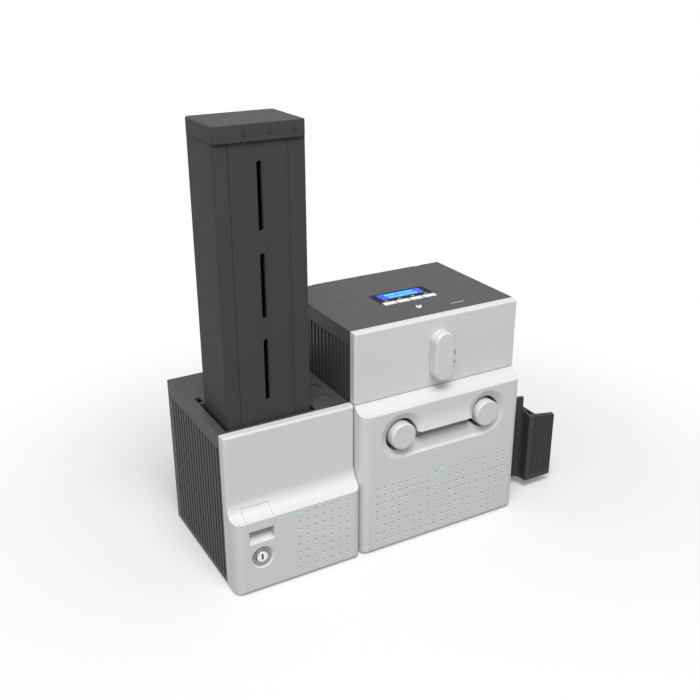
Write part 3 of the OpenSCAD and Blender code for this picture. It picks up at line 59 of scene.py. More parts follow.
def at(x, y, z):
    return START + Vector((x, y, z)) * MM


def local_box(node):
    lo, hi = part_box(node)
    return (lo - START) / MM, (hi - START) / MM


# Camera, fitted to the photograph's edges

CAMERA_PLACE = (-339.4, -910.5, 725.8)
CAMERA_AZIMUTH = math.radians(-29.525)
CAMERA_DROP = math.radians(23.146)
CAMERA_ROLL = math.radians(-0.083)
CAMERA_LENS = 48.10
SENSOR_WIDTH = 36


def add_camera():
    data = bpy.data.cameras.new("camera")
    data.lens = CAMERA_LENS
    data.sensor_width = SENSOR_WIDTH
    camera = bpy.data.objects.new("camera", data)
    bpy.context.scene.collection.objects.link(camera)
    turn = (
        Matrix.Rotation(CAMERA_AZIMUTH, 4, "Z")
        @ Matrix.Rotation(math.pi / 2 - CAMERA_DROP, 4, "X")
        @ Matrix.Rotation(CAMERA_ROLL, 4, "Z")
    )
    camera.matrix_world = Matrix.Translation(at(*CAMERA_PLACE)) @ turn
    bpy.context.scene.camera = camera


# Light, in metres and watts: a soft lamp over the front, a weak one at the left and an even fill

KEY_PLACE, KEY_TARGET, KEY_SIZE, KEY_POWER = (-0.5, -1.3, 2.6), (0.0, 0.0, 0.15), (1.6, 1.2), 79
LEFT_PLACE, LEFT_TARGET, LEFT_SIZE, LEFT_POWER = (-2.6, -0.9, 1.0), (0.0, 0.0, 0.2), (1.6, 1.4), 9
FILL_COLOUR = (0.97, 0.98, 1.0, 1)
FILL_STRENGTH = 0.385
WHITE = (1, 1, 1, 1)


def add_area(name, place, target, size, power):
    data = bpy.data.lights.new(name, "AREA")
    data.shape = "RECTANGLE"
    data.size, data.size_y = size
    data.energy = power
    lamp = bpy.data.objects.new(name, data)
    bpy.context.scene.collection.objects.link(lamp)
    lamp.location = place
    lamp.rotation_euler = (Vector(target) - Vector(place)).to_track_quat("-Z", "Y").to_euler()


def add_light():
    scene = bpy.context.scene
    scene.view_settings.view_transform = "Standard"
    add_area("light_key", KEY_PLACE, KEY_TARGET, KEY_SIZE, KEY_POWER)
    add_area("light_left", LEFT_PLACE, LEFT_TARGET, LEFT_SIZE, LEFT_POWER)
    world = bpy.data.worlds.new("studio")
    scene.world = world
    world.use_nodes = True
    tree = world.node_tree
    tree.nodes.clear()
    out = tree.nodes.new("ShaderNodeOutputWorld")
    fill = tree.nodes.new("ShaderNodeBackground")
    shown = tree.nodes.new("ShaderNodeBackground")
    fill.inputs["Color"].default_value = FILL_COLOUR
    fill.inputs["Strength"].default_value = FILL_STRENGTH
    shown.inputs["Color"].default_value = WHITE
    shown.inputs["Strength"].default_value = 1.0
    tree.links.new(mixed(tree, ray_switch(tree), fill.outputs[0], shown.outputs[0]), out.inputs[0])


def ray_switch(tree):
    """1 for what the camera sees straight or through a reflection, 0 for light."""
    path = tree.nodes.new("ShaderNodeLightPath")
    value = path.outputs["Is Camera Ray"]
    for name in ("Is Glossy Ray", "Is Transmission Ray"):
        top = tree.nodes.new("ShaderNodeMath")
        top.operation = "MAXIMUM"
        tree.links.new(value, top.inputs[0])
        tree.links.new(path.outputs[name], top.inputs[1])
        value = top.outputs[0]
    return value


# Floor, in metres: how pale it is as a lit surface and as it is seen, and how far the shadow is kept

FLOOR_HALF = 6.0
FLOOR_LIT = 0.34
FLOOR_SHOWN = 0.62
FLOOR_GLOW = 0.2
SHADOW_REACH = (0.28, 0.75)


def emission(tree, strength):
    node = tree.nodes.new("ShaderNodeEmission")
    node.inputs["Color"].default_value = WHITE
    node.inputs["Strength"].default_value = strength
    return node.outputs[0]


def diffuse(tree, value):
    node = tree.nodes.new("ShaderNodeBsdfDiffuse")
    node.inputs["Color"].default_value = (value, value, value, 1)
    return node.outputs[0]


def mixed(tree, factor, first, second):
    node = tree.nodes.new("ShaderNodeMixShader")
    tree.links.new(factor, node.inputs[0])
    tree.links.new(first, node.inputs[1])
    tree.links.new(second, node.inputs[2])
    return node.outputs[0]


def add_floor():
    """A pale floor that keeps the shadow near the machine and fades to white around it."""
    half = FLOOR_HALF
    data = bpy.data.meshes.new("floor")
    corners = [(-half, -half, 0), (half, -half, 0), (half, half, 0), (-half, half, 0)]
    data.from_pydata(corners, [], [(0, 1, 2, 3)])
    floor = bpy.data.objects.new("floor", data)
    bpy.context.scene.collection.objects.link(floor)
    material = bpy.data.materials.new("floor_pale")
    material.use_nodes = True
    tree = material.node_tree
    tree.nodes.clear()
    out = tree.nodes.new("ShaderNodeOutputMaterial")
    place = tree.nodes.new("ShaderNodeTexCoord")
    length = tree.nodes.new("ShaderNodeVectorMath")
    length.operation = "LENGTH"
    tree.links.new(place.outputs["Object"], length.inputs[0])
    away = tree.nodes.new("ShaderNodeMapRange")
    away.interpolation_type = "SMOOTHSTEP"
    away.inputs["From Min"].default_value, away.inputs["From Max"].default_value = SHADOW_REACH
    tree.links.new(length.outputs["Value"], away.inputs["Value"])
    near = tree.nodes.new("ShaderNodeAddShader")
    tree.links.new(diffuse(tree, FLOOR_SHOWN), near.inputs[0])
    tree.links.new(emission(tree, FLOOR_GLOW), near.inputs[1])
    shown = mixed(tree, away.outputs["Result"], near.outputs[0], emission(tree, 1.0))
    tree.links.new(mixed(tree, ray_switch(tree), diffuse(tree, FLOOR_LIT), shown), out.inputs[0])
    data.materials.append(material)


# Materials

TONE_SCALE = 14.0
UNEVEN_SCALE = 55.0
NOISE_LOW, NOISE_HIGH = 0.3, 0.7


def noise(tree, coords, scale, detail=2.0, rough=0.5):
    node = tree.nodes.new("ShaderNodeTexNoise")
    node.inputs["Scale"].default_value = scale
    node.inputs["Detail"].default_value = detail
    node.inputs["Roughness"].default_value = rough
    tree.links.new(coords, node.inputs["Vector"])
    return node.outputs["Fac"]


def ranged(tree, value, low, high):
    node = tree.nodes.new("ShaderNodeMapRange")
    node.inputs["From Min"].default_value = NOISE_LOW
    node.inputs["From Max"].default_value = NOISE_HIGH
    node.inputs["To Min"].default_value = low
    node.inputs["To Max"].default_value = high
    tree.links.new(value, node.inputs["Value"])
    return node.outputs["Result"]


def make_material(name, colour, rough, metal=0.0, tone=0.04, grain=900.0, grain_depth=0.02,
                  stretch=(1, 1, 1), specular=0.5, glow=None, rough_swing=0.06):
    """A moulded, rolled or milled surface with two tones of one colour, uneven roughness and a fine grain."""
    material = bpy.data.materials.new(name)
    material.use_nodes = True
    tree = material.node_tree
    shader = tree.nodes["Principled BSDF"]
    place = tree.nodes.new("ShaderNodeTexCoord")
    mapping = tree.nodes.new("ShaderNodeMapping")
    mapping.inputs["Scale"].default_value = stretch
    tree.links.new(place.outputs["Object"], mapping.inputs["Vector"])
    coords = mapping.outputs["Vector"]
    tones = tree.nodes.new("ShaderNodeMixRGB")
    tones.inputs["Color1"].default_value = (*[c * (1 - tone) for c in colour], 1)
    tones.inputs["Color2"].default_value = (*[min(1.0, c * (1 + tone)) for c in colour], 1)
    tree.links.new(noise(tree, coords, TONE_SCALE, 3.0), tones.inputs["Fac"])
    tree.links.new(tones.outputs["Color"], shader.inputs["Base Color"])
    patches = noise(tree, coords, UNEVEN_SCALE, 4.0, 0.6)
    uneven = ranged(tree, patches, rough - rough_swing, rough + rough_swing)
    tree.links.new(uneven, shader.inputs["Roughness"])
    bump = tree.nodes.new("ShaderNodeBump")
    bump.inputs["Strength"].default_value = 1.0
    bump.inputs["Distance"].default_value = grain_depth * MM
    tree.links.new(noise(tree, coords, grain, 3.0, 0.55), bump.inputs["Height"])
    tree.links.new(bump.outputs["Normal"], shader.inputs["Normal"])
    shader.inputs["Metallic"].default_value = metal
    shader.inputs["Specular IOR Level"].default_value = specular
    if glow:
        shader.inputs["Emission Color"].default_value = (*glow[0], 1)
        shader.inputs["Emission Strength"].default_value = glow[1]
    return material


MATERIALS = {
    "dark_shell": make_material("dark_shell", (0.054, 0.056, 0.059), 0.5, tone=0.012, grain=1400,
                                specular=0.26, rough_swing=0.02),
    "white_panel": make_material("white_panel", (0.615, 0.615, 0.618), 0.36, tone=0.012, grain=1800,
                                 grain_depth=0.006),
    "tower_dark": make_material("tower_dark", (0.047, 0.0495, 0.052), 0.6, tone=0.012, grain=1500,
                                grain_depth=0.015, specular=0.12, rough_swing=0.02),
    "tray_dark": make_material("tray_dark", (0.044, 0.046, 0.049), 0.5, tone=0.015, grain=1400,
                               specular=0.22, rough_swing=0.03),
    "steel_sheet": make_material("steel_sheet", (0.55, 0.55, 0.56), 0.34, metal=1.0, grain=700,
                                 grain_depth=0.01, stretch=(1, 1, 8)),
    "rubber": make_material("rubber", (0.02, 0.02, 0.021), 0.75, tone=0.15, grain=2200, grain_depth=0.05),
    "lamp_blue": make_material("lamp_blue", (0.38, 0.62, 0.75), 0.3, tone=0.05,
                               glow=((0.4, 0.75, 0.95), 0.12)),
    "chrome_lock": make_material("chrome_lock", (0.3, 0.3, 0.31), 0.22, metal=1.0, grain_depth=0.004),
    "plug_bright": make_material("plug_bright", (0.86, 0.86, 0.87), 0.4, metal=0.6, grain_depth=0.003),
    "screw_black": make_material("screw_black", (0.026, 0.027, 0.029), 0.4, metal=0.4, grain_depth=0.004),
    "ribbon": make_material("ribbon", (0.25, 0.08, 0.12), 0.25, tone=0.1, grain=300, stretch=(8, 1, 8)),
    "display_glass": make_material("display_glass", (0.006, 0.0065, 0.008), 0.45, grain_depth=0.002,
                                   specular=0.06),
    "key_white": make_material("key_white", (0.8, 0.8, 0.8), 0.28, tone=0.01, grain_depth=0.003),
    "board_green": make_material("board_green", (0.015, 0.14, 0.06), 0.35, tone=0.2, grain=400,
                                 grain_depth=0.03),
    "black_plastic": make_material("black_plastic", (0.022, 0.022, 0.024), 0.45, tone=0.1),
    "aluminium": make_material("aluminium", (0.6, 0.6, 0.61), 0.32, metal=1.0, grain=600, grain_depth=0.01,
                               stretch=(8, 1, 1)),
    "screen_blue": make_material("screen_blue", (0.01, 0.04, 0.3), 0.3, tone=0.05, grain_depth=0.001,
                                 specular=0.1, glow=((0.02, 0.09, 0.8), 0.75)),
    "screen_marks": make_material("screen_marks", (0.05, 0.4, 0.6), 0.3, tone=0.05, grain_depth=0.001,
                                  glow=((0.06, 0.7, 1.0), 0.95)),
    "print_grey": make_material("print_grey", (0.26, 0.26, 0.265), 0.5, tone=0.05, grain_depth=0.003),
    "print_pale": make_material("print_pale", (0.45, 0.45, 0.455), 0.45, grain_depth=0.003),
    # black for the button's mark, and painted shade where it lies flat as the key slot and the screw sockets
    "black_marks_and_painted_shade": make_material("black_marks_and_painted_shade", (0.015, 0.015, 0.016), 0.5, tone=0.1, grain_depth=0.003),
    "ceramic_head": make_material("ceramic_head", (0.3, 0.14, 0.06), 0.22, tone=0.08, grain_depth=0.005),
}
SLOT_OF = {s["node"]: s["material_slot"] for s in frame["record"]["subparts"]}
LOOK_OF = dict(SLOT_OF, lock_plug="plug_bright", cap_screws="screw_black")


# Mesh helpers, in millimetres. Shorter chains of edges than BEVEL_REACH stay sharp, and dents smaller than
# CREASE_REACH or SMALL_CREASE are shaded smooth.

BEVEL_REACH = 4.0
CREASE_REACH = 0.8
SMALL_CREASE = 0.5
WELD = 0.002
FLAT_ANGLE = math.radians(0.6)
BEVEL_ANGLE = math.radians(32)
BEVEL_STEPS = 3
SKIN_CREASE = 30
PIECE_CREASE = 38


def add_piece(name, mesh, material, body):
    piece = bpy.data.objects.new(name, mesh)
    bpy.context.scene.collection.objects.link(piece)
    mesh.materials.append(MATERIALS[material])
    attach(piece, body)
    return piece


def smooth_by_angle(mesh, degrees, smallest):
    """Smooth faces with sharp edges kept, except where they run round a dent smaller than smallest."""
    limit = math.radians(degrees)
    bm = bmesh.new()
    bm.from_mesh(mesh)
    for face in bm.faces:
        face.smooth = True
    sharp = [e for e in bm.edges if len(e.link_faces) != 2 or e.calc_face_angle(0) >= limit]
    for chain in edge_chains(sharp):
        if reach(chain) > smallest * MM:
            for edge in chain:
                edge.smooth = False
    bm.to_mesh(mesh)
    bm.free()


def edge_chains(edges):
    """Groups of sharp edges that touch each other."""
    left = set(edges)
    while left:
        chain = [left.pop()]
        for edge in chain:
            for vert in edge.verts:
                for other in vert.link_edges:
                    if other in left:
                        left.discard(other)
                        chain.append(other)
        yield chain


def reach(chain):
    """The longest side of the box round a chain of edges."""
    points = [v.co for e in chain for v in e.verts]
    return max(max(p[i] for p in points) - min(p[i] for p in points) for i in range(3))


# The dimples of the dotted panels, whose floors are put deeper and made wider

DIMPLED = ("hopper_door", "lower_panel")
DIMPLE_FLOOR = -32.1
DIMPLE_DEEPER = 1.2
DIMPLE_WIDER = 2.1
DIMPLE_NEAR = 0.01


def deepen_dimples(bm):
    floor = at(0, DIMPLE_FLOOR, 0).y
    down = Vector((0, DIMPLE_DEEPER * MM, 0))
    for face in bm.faces:
        if all(abs(vert.co.y - floor) < DIMPLE_NEAR * MM for vert in face.verts):
            centre = face.calc_center_median()
            for vert in face.verts:
                vert.co = centre + (vert.co - centre) * DIMPLE_WIDER + down


def cut_box_out(bm, lo, hi):
    """Open the mesh where it lies inside the box, by cuts along the box's planes."""
    for axis in range(3):
        for corner in (lo, hi):
            normal = Vector((0, 0, 0))
            normal[axis] = 1
            everything = bm.verts[:] + bm.edges[:] + bm.faces[:]
            bmesh.ops.bisect_plane(bm, geom=everything, dist=0.001 * MM, plane_co=at(*corner),
                                   plane_no=normal)
    low, high = at(*lo), at(*hi)
    inside = []
    for face in bm.faces:
        middle = face.calc_center_median()
        if all(low[i] < middle[i] < high[i] for i in range(3)):
            inside.append(face)
    bmesh.ops.delete(bm, geom=inside, context="FACES")


def skin(node, radius, opened=None):
    """A copy of a CAD node with its long edges rounded, as a mould leaves them."""
    bm = bmesh.new()
    bm.from_mesh(NODES[node].data)
    bmesh.ops.remove_doubles(bm, verts=bm.verts, dist=WELD * MM)
    bmesh.ops.dissolve_limit(bm, angle_limit=FLAT_ANGLE, verts=bm.verts, edges=bm.edges)
    if opened:
        cut_box_out(bm, *opened)
    if node in DIMPLED:
        deepen_dimples(bm)
    edges = [e for e in bm.edges if len(e.link_faces) == 2 and e.calc_face_angle(0) > BEVEL_ANGLE]
    chosen = [e for chain in edge_chains(edges) if reach(chain) > BEVEL_REACH * MM for e in chain]
    bmesh.ops.bevel(bm, geom=chosen, offset=radius * MM, segments=BEVEL_STEPS, profile=0.5, affect="EDGES",
                    clamp_overlap=True)
    mesh = bpy.data.meshes.new(node + ".skin")
    bm.to_mesh(mesh)
    bm.free()
    smooth_by_angle(mesh, SKIN_CREASE, CREASE_REACH)
    piece = add_piece(node + ".skin", mesh, LOOK_OF[node], BODY_OF[node])
    piece.modifiers.new("even", "WEIGHTED_NORMAL").keep_sharp = True
    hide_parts(node)


def new_mesh(name, points, faces):
    """A mesh from points in millimetres, with its faces turned outwards."""
    mesh = bpy.data.meshes.new(name)
    mesh.from_pydata([at(*p) for p in points], [], faces)
    bm = bmesh.new()
    bm.from_mesh(mesh)
    bmesh.ops.recalc_face_normals(bm, faces=bm.faces)
    bm.to_mesh(mesh)
    bm.free()
    return mesh


def loft(name, rings):
    """A closed skin through rings that have equal numbers of points."""
    count = len(rings[0])
    points = [p for ring in rings for p in ring]
    faces = []
    for i in range(len(rings) - 1):
        for k in range(count):
            a, b = i * count + k, i * count + (k + 1) % count
            faces.append((a, b, b + count, a + count))
    faces.append(tuple(range(count)))
    faces.append(tuple(range(len(points) - count, len(points))))
    return new_mesh(name, points, faces)


def quarter(steps):
    """Sine and cosine from 0 to a right angle."""
    angles = [k / steps * math.pi / 2 for k in range(steps + 1)]
    return [(math.sin(a), math.cos(a)) for a in angles]


def finish_smooth(piece, node=None, degrees=PIECE_CREASE):
    smooth_by_angle(piece.data, degrees, SMALL_CREASE)
    piece.modifiers.new("even", "WEIGHTED_NORMAL").keep_sharp = True
    if node:
        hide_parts(node)


# Winding knobs, turned with a rounded rim

KNOB_FILLET = 2.4
KNOB_TURNS = 96
KNOB_SOCKET_R = 4.0
KNOB_SOCKET_END = 4.5
KNOB_BACK_EDGE = 0.4


def add_winding_knob(node):
    lo, hi = local_box(node)
    x, z = (lo.x + hi.x) / 2, (lo.z + hi.z) / 2
    front, back = lo.y, hi.y
    r = (hi.x - lo.x) / 2
    profile = [(KNOB_SOCKET_R, front + KNOB_SOCKET_END), (KNOB_SOCKET_R, back)]
    profile += [(r - KNOB_BACK_EDGE, back), (r, back - KNOB_BACK_EDGE)]
    for s, c in quarter(8):
        profile.append((r - KNOB_FILLET + KNOB_FILLET * c, front + KNOB_FILLET - KNOB_FILLET * s))
    profile += [(r * 0.55, front + 0.02), (r * 0.2, front)]
    angles = [2 * math.pi * k / KNOB_TURNS for k in range(KNOB_TURNS)]
    rings = []
    for radius, y in profile:
        rings.append([(x + radius * math.cos(a), y, z + radius * math.sin(a)) for a in angles])
    mesh = loft(node + ".turned", rings)
    finish_smooth(add_piece(node + ".turned", mesh, "white_panel", BODY_OF[node]), node)


# Grip between the winding knobs: one moulded surface with a dish round each knob, a floor that steps in
# and then slopes in to the finger slot, and a lip that flares out over the slot

GRIP_KNOBS = (234.0, 365.0)
GRIP_Z = 160.5
GRIP_FACE = -33.0
GRIP_BOX = ((200.0, -45.0, 125.0), (399.0, -19.0, 194.0))
DISH_R, HOLE_R, DISH_DEPTH = 31.5, 22.5, 4.5
SLOT_LOW, SLOT_HIGH = 146.0, 161.0
FLOOR_START, FLOOR_DEPTH, FLOOR_EDGE = 129.0, 10.0, 4.6
LIP_TOP, LIP_OUT = 185.0, 4.5
LIP_DISH_NARROWER = 5.0
GRIP_STEP = 1.5
BORDER_STEP = 4.0
BORDER_SIDES = 16
DISH_RINGS = (24.0, 26.0, 28.0, 30.0, DISH_R, 33.0)
RING_ROOM = 0.5
CLEAR_OF_DISH = 2.0
CLOSE = 0.01
GRIP_WELD = 0.02
WALL_LAP = 0.5


def eased(value, low, high):
    """0 at low and 1 at high, with a soft start and end."""
    t = min(1.0, max(0.0, (value - low) / (high - low)))
    return t * t * (3 - 2 * t)


def knob_distance(x, z):
    return min(math.hypot(x - cx, z - GRIP_Z) for cx in GRIP_KNOBS)


def grip_y(x, z, over_slot):
    """How far out the grip's surface is at a place of the front, on the floor's side or the lip's."""
    left, right = GRIP_KNOBS
    from_knob = knob_distance(x, z)
    dish = DISH_DEPTH * min(1.0, max(0.0, (DISH_R - from_knob) / (DISH_R - HOLE_R)))
    if not over_slot:
        share = min(1.0, max(0.0, (z - FLOOR_START) / (SLOT_LOW - FLOOR_START)))
        fade = eased(x, left - 4, left + 12) * eased(-x, -right - 4, -right + 12)
        step = FLOOR_EDGE * min(1.0, share * 8)
        return GRIP_FACE + max(dish, (step + (FLOOR_DEPTH - step) * share * share) * fade)
    rise = LIP_TOP - SLOT_HIGH
    bow = (rise * rise + LIP_OUT * LIP_OUT) / (2 * LIP_OUT)
    down = min(rise, max(0.0, LIP_TOP - z))
    flare = bow - math.sqrt(bow * bow - down * down)
    ends = eased(x, left - 2, left + 15) * eased(-x, -right - 2, -right + 15)
    rim = DISH_R - LIP_DISH_NARROWER * flare * ends / LIP_OUT
    dish = DISH_DEPTH * min(1.0, max(0.0, (rim - from_knob) / (rim - HOLE_R)))
    return GRIP_FACE - flare * ends + dish


def arc_points(cx, radius, start, end, step):
    count = max(2, round(abs(end - start) * radius / step))
    return [(cx + radius * math.cos(start + (end - start) * k / count),
             GRIP_Z + radius * math.sin(start + (end - start) * k / count)) for k in range(count + 1)]


def straight_points(x0, x1, z, step):
    count = max(2, round(abs(x1 - x0) / step))
    return [(x0 + (x1 - x0) * k / count, z) for k in range(count + 1)]


def grip_opening():
    """The outline of both knob holes and the slot between them."""
    left, right = GRIP_KNOBS
    low = math.asin((SLOT_LOW - GRIP_Z) / HOLE_R)
    high = math.asin((SLOT_HIGH - GRIP_Z) / HOLE_R)
    reach_low, reach_high = HOLE_R * math.cos(low), HOLE_R * math.cos(high)
    ring = straight_points(left + reach_high, right - reach_high, SLOT_HIGH, GRIP_STEP)
    ring += arc_points(right, HOLE_R, math.pi - high, -math.pi - low, GRIP_STEP)[1:]
    ring += straight_points(right - reach_low, left + reach_low, SLOT_LOW, GRIP_STEP)[1:]
    ring += arc_points(left, HOLE_R, low, -2 * math.pi + high, GRIP_STEP)[1:-1]
    return ring


def in_opening(x, z):
    left, right = GRIP_KNOBS
    return knob_distance(x, z) < HOLE_R or (SLOT_LOW < z < SLOT_HIGH and left < x < right)


def grip_border():
    (x0, _, z0), (x1, _, z1) = GRIP_BOX
    rises = [(z1 - z0) * k / BORDER_SIDES for k in range(BORDER_SIDES)]
    border = straight_points(x0, x1, z0, BORDER_STEP)[:-1]
    border += [(x1, z0 + rise) for rise in rises]
    border += straight_points(x1, x0, z1, BORDER_STEP)[:-1]
    border += [(x0, z1 - rise) for rise in rises]
    return border


def grip_inner_points():
    """Points inside the border: rings in the dishes, lines along the bends and a plain net."""
    left, right = GRIP_KNOBS
    (x0, _, z0), (x1, _, z1) = GRIP_BOX
    inner = []
    for cx in GRIP_KNOBS:
        for radius in DISH_RINGS:
            for x, z in arc_points(cx, radius, 0, 2 * math.pi, GRIP_STEP)[:-1]:
                clear = min(abs(z - SLOT_HIGH), abs(z - SLOT_LOW)) > RING_ROOM
                if clear and knob_distance(x, z) > radius - 0.2 and not in_opening(x, z):
                    inner.append((x, z))
    for bend in (FLOOR_START, LIP_TOP):
        for x, z in straight_points(left, right, bend, GRIP_STEP):
            if knob_distance(x, z) > DISH_R + CLEAR_OF_DISH:
                inner.append((x, z))
    steps_x, steps_z = round((x1 - x0) / GRIP_STEP), round((z1 - z0) / GRIP_STEP)
    for i in range(1, steps_x):
        for k in range(1, steps_z):
            x, z = x0 + (x1 - x0) * i / steps_x, z0 + (z1 - z0) * k / steps_z
            clear = min(abs(z - edge) for edge in (SLOT_LOW, SLOT_HIGH, FLOOR_START, LIP_TOP)) > RING_ROOM
            if clear and knob_distance(x, z) > DISH_R + CLEAR_OF_DISH + 0.2 and not in_opening(x, z):
                inner.append((x, z))
    return inner


def add_grip():
    opening = grip_opening()
    flat, edges = [], []
    for loop in (grip_border(), opening):
        start = len(flat)
        flat += loop
        edges += [(start + k, start + (k + 1) % len(loop)) for k in range(len(loop))]
    flat += grip_inner_points()
    found = delaunay_2d_cdt([Vector(q) for q in flat], edges, [], 0, CLOSE)
    spots, triangles = found[0], found[2]
    points = [(spot.x, grip_y(spot.x, spot.y, spot.y > SLOT_HIGH - CLOSE), spot.y) for spot in spots]
    faces = []
    for triangle in triangles:
        middle = sum((spots[i] for i in triangle), Vector((0, 0))) / 3
        if not in_opening(middle.x, middle.y):
            faces.append(tuple(triangle))
    back = GRIP_BOX[1][1] + WALL_LAP
    start = len(points)
    for x, z in opening:
        points += [(x, grip_y(x, z, z > SLOT_HIGH - CLOSE), z), (x, back, z)]
    for k in range(len(opening)):
        a, b = start + 2 * k, start + 2 * ((k + 1) % len(opening))
        faces.append((a, b, b + 1, a + 1))
    mesh = bpy.data.meshes.new("cassette_front.grip")
    mesh.from_pydata([at(*q) for q in points], [], faces)
    bm = bmesh.new()
    bm.from_mesh(mesh)
    bmesh.ops.remove_doubles(bm, verts=bm.verts, dist=GRIP_WELD * MM)
    bmesh.ops.recalc_face_normals(bm, faces=bm.faces)
    bm.to_mesh(mesh)
    bm.free()
    finish_smooth(add_piece("cassette_front.grip", mesh, "white_panel", BODY_OF["cassette_front"]))


# Door latch knob, a stadium with a rounded face

LATCH_PLACE = (299.5, 252.6)
LATCH_HALF = (14.0, 33.0)
LATCH_DEEP = (-12.3, -24.4, -28.0)
LATCH_IN = 2.4
LATCH_BACK_EDGE = 0.5
LATCH_CREASE = 50


def stadium(width, length, y, steps=24):
    cx, cz = LATCH_PLACE
    straight = length - width
    ring = []
    for end, turn in ((1, 0.0), (-1, math.pi)):
        for k in range(steps + 1):
            a = turn + math.pi * k / steps
            ring.append((cx + width * math.cos(a), y, cz + end * straight + width * math.sin(a)))
    return ring


def add_latch_knob():
    node = "latch_knob"
    limit = at(0, LATCH_DEEP[0] - 0.01, 0).y
    bm = bmesh.new()
    bm.from_mesh(NODES[node].data)
    bmesh.ops.delete(bm, geom=[v for v in bm.verts if v.co.y < limit], context="VERTS")
    shaft = bpy.data.meshes.new(node + ".shaft")
    bm.to_mesh(shaft)
    bm.free()
    finish_smooth(add_piece(node + ".shaft", shaft, "white_panel", BODY_OF[node]))
    half_w, half_l = LATCH_HALF
    back, bend, front = LATCH_DEEP
    edge = LATCH_BACK_EDGE
    rings = [stadium(half_w - edge, half_l - edge, back), stadium(half_w, half_l, back - edge)]
    for s, c in quarter(10):
        inwards = LATCH_IN * (1 - c)
        rings.append(stadium(half_w - inwards, half_l - inwards, bend + (front - bend) * s))
    mesh = loft(node + ".grip", rings)
    grip = add_piece(node + ".grip", mesh, "white_panel", BODY_OF[node])
    finish_smooth(grip, node, LATCH_CREASE)


# Prints, painted shade and the lit screen: thin raised outlines on the cover, the lock and the cap's screws,
# where the black ones on the lock's plug and on the screws are painted shade for the key slot and the screw
# sockets

PRINT_SUNK = 0.02
PRINT_LIFT = 0.05
THIN_LIFT = 0.04


def raised(name, outlines, place, lift, material, body):
    """Flat outlines laid on a face: place() turns (u, v, height) into millimetres."""
    points, faces = [], []
    for outline in outlines:
        start, count = len(points), len(outline)
        points += [place(u, v, -PRINT_SUNK) for u, v in outline] + [place(u, v, lift) for u, v in outline]
        faces.append(tuple(range(start + count, start + 2 * count)))
        faces.append(tuple(range(start, start + count)))
        for k in range(count):
            a, b = start + k, start + (k + 1) % count
            faces.append((a, b, b + count, a + count))
    return add_piece(name, new_mesh(name, points, faces), material, body)


def on_top(z):
    return lambda u, v, h: (u, v, z + h)


def on_front(y):
    return lambda u, v, h: (u, y - h, v)


def rounded_box(x0, y0, x1, y1, r, steps=5):
    ring = []
    corners = ((x1 - r, y1 - r, 0), (x0 + r, y1 - r, 1), (x0 + r, y0 + r, 2), (x1 - r, y0 + r, 3))
    for cx, cy, turn in corners:
        for k in range(steps + 1):
            a = (turn + k / steps) * math.pi / 2
            ring.append((cx + r * math.cos(a), cy + r * math.sin(a)))
    return ring


SCREEN = (266.75, 72.43, 333.75, 91.93)
SCREEN_Z = 303.1
SCREEN_T = 0.25
SCREEN_EDGE = 0.2
BEZEL_Z = 303.6
TEXT_CELLS = 12
TEXT_PITCH = 3.75
TEXT_DOT = 0.6
TEXT_TOPS = (3.0, 11.4)
TEXT_COLUMNS, TEXT_ROWS = 5, 8
TEXT_FILLED = 0.68
TEXT_SEED = 7


def add_screen():
    """The lit window with two lines of random dots, which can't be read."""
    x0, y0, x1, y1 = SCREEN
    edge = SCREEN_EDGE
    body = BODY_OF["display"]
    window = rounded_box(x0 + edge, y0 + edge, x1 - edge, y1 - edge, 0.6)
    finish_smooth(raised("screen", [window], on_top(SCREEN_Z), SCREEN_T, "screen_blue", body))
    draw = random.Random(TEXT_SEED)
    dot = TEXT_DOT
    dots = []
    for line, below_top in enumerate(TEXT_TOPS):
        for cell in range(TEXT_CELLS):
            left = (x0 + x1) / 2 - TEXT_CELLS * TEXT_PITCH / 2 + (cell + 0.3 * line) * TEXT_PITCH
            for i in range(TEXT_COLUMNS):
                for j in range(TEXT_ROWS):
                    if draw.random() < TEXT_FILLED:
                        u = left + i * (dot + 0.05)
                        v = y1 - below_top - j * (dot + 0.1)
                        dots.append([(u, v - dot), (u + dot, v - dot), (u + dot, v), (u, v)])
    raised("screen_text", dots, on_top(SCREEN_Z + SCREEN_T), THIN_LIFT, "screen_marks", body)


COVER_TOP = 303.0
COVER_FRONT = -12.0
KEY_COUNT, KEY_X0, KEY_PITCH, KEY_L = 4, 260.05, 20.6, 18.6
ARROW_Y0, ARROW_Y1, ARROW_WIDE, ARROW_NARROW = 66.6, 69.2, 3.1, 1.2
STRIPE = (338, 18.2, 358.5, 20.0, 0.7)
BUTTON = (296.0, 31.0)
BUTTON_TOP = 303.8
PLUG = (35.4, 46.2)
PLUG_FRONT = -32.0
KEY_SLOT_HALF = (1.3, 3.9)
SCREW_X, SCREW_PITCH, SCREW_Z = 81.0, 29.5, 549.8
SCREW_FRONT = 4.2
SOCKET_R = 1.5
LOCK_MARK_X = 324.1
LOCK_MARKS = ((248.2, 0.0), (235.2, 1.5))
LOCK_BOW = (1.75, 1.15)


def lock_mark(z, lift):
    """A small padlock: its body and its bow, which is lifted and moved aside where it is open."""
    x = LOCK_MARK_X
    body = rounded_box(x - 2.2, z - 1.9, x + 2.2, z + 1.6, 0.4)
    outer, inner = [], []
    for r, arc in zip(LOCK_BOW, (outer, inner)):
        for k in range(11):
            a = math.pi * k / 10
            arc.append((x + r * math.cos(a) - lift, z + 3.0 + r * math.sin(a) + lift * 0.3))
    foot = z + 1.5
    bow = [(outer[0][0], foot)] + outer + [(outer[-1][0], foot + lift), (inner[-1][0], foot + lift)]
    bow += inner[::-1] + [(inner[0][0], foot)]
    return [body, bow]
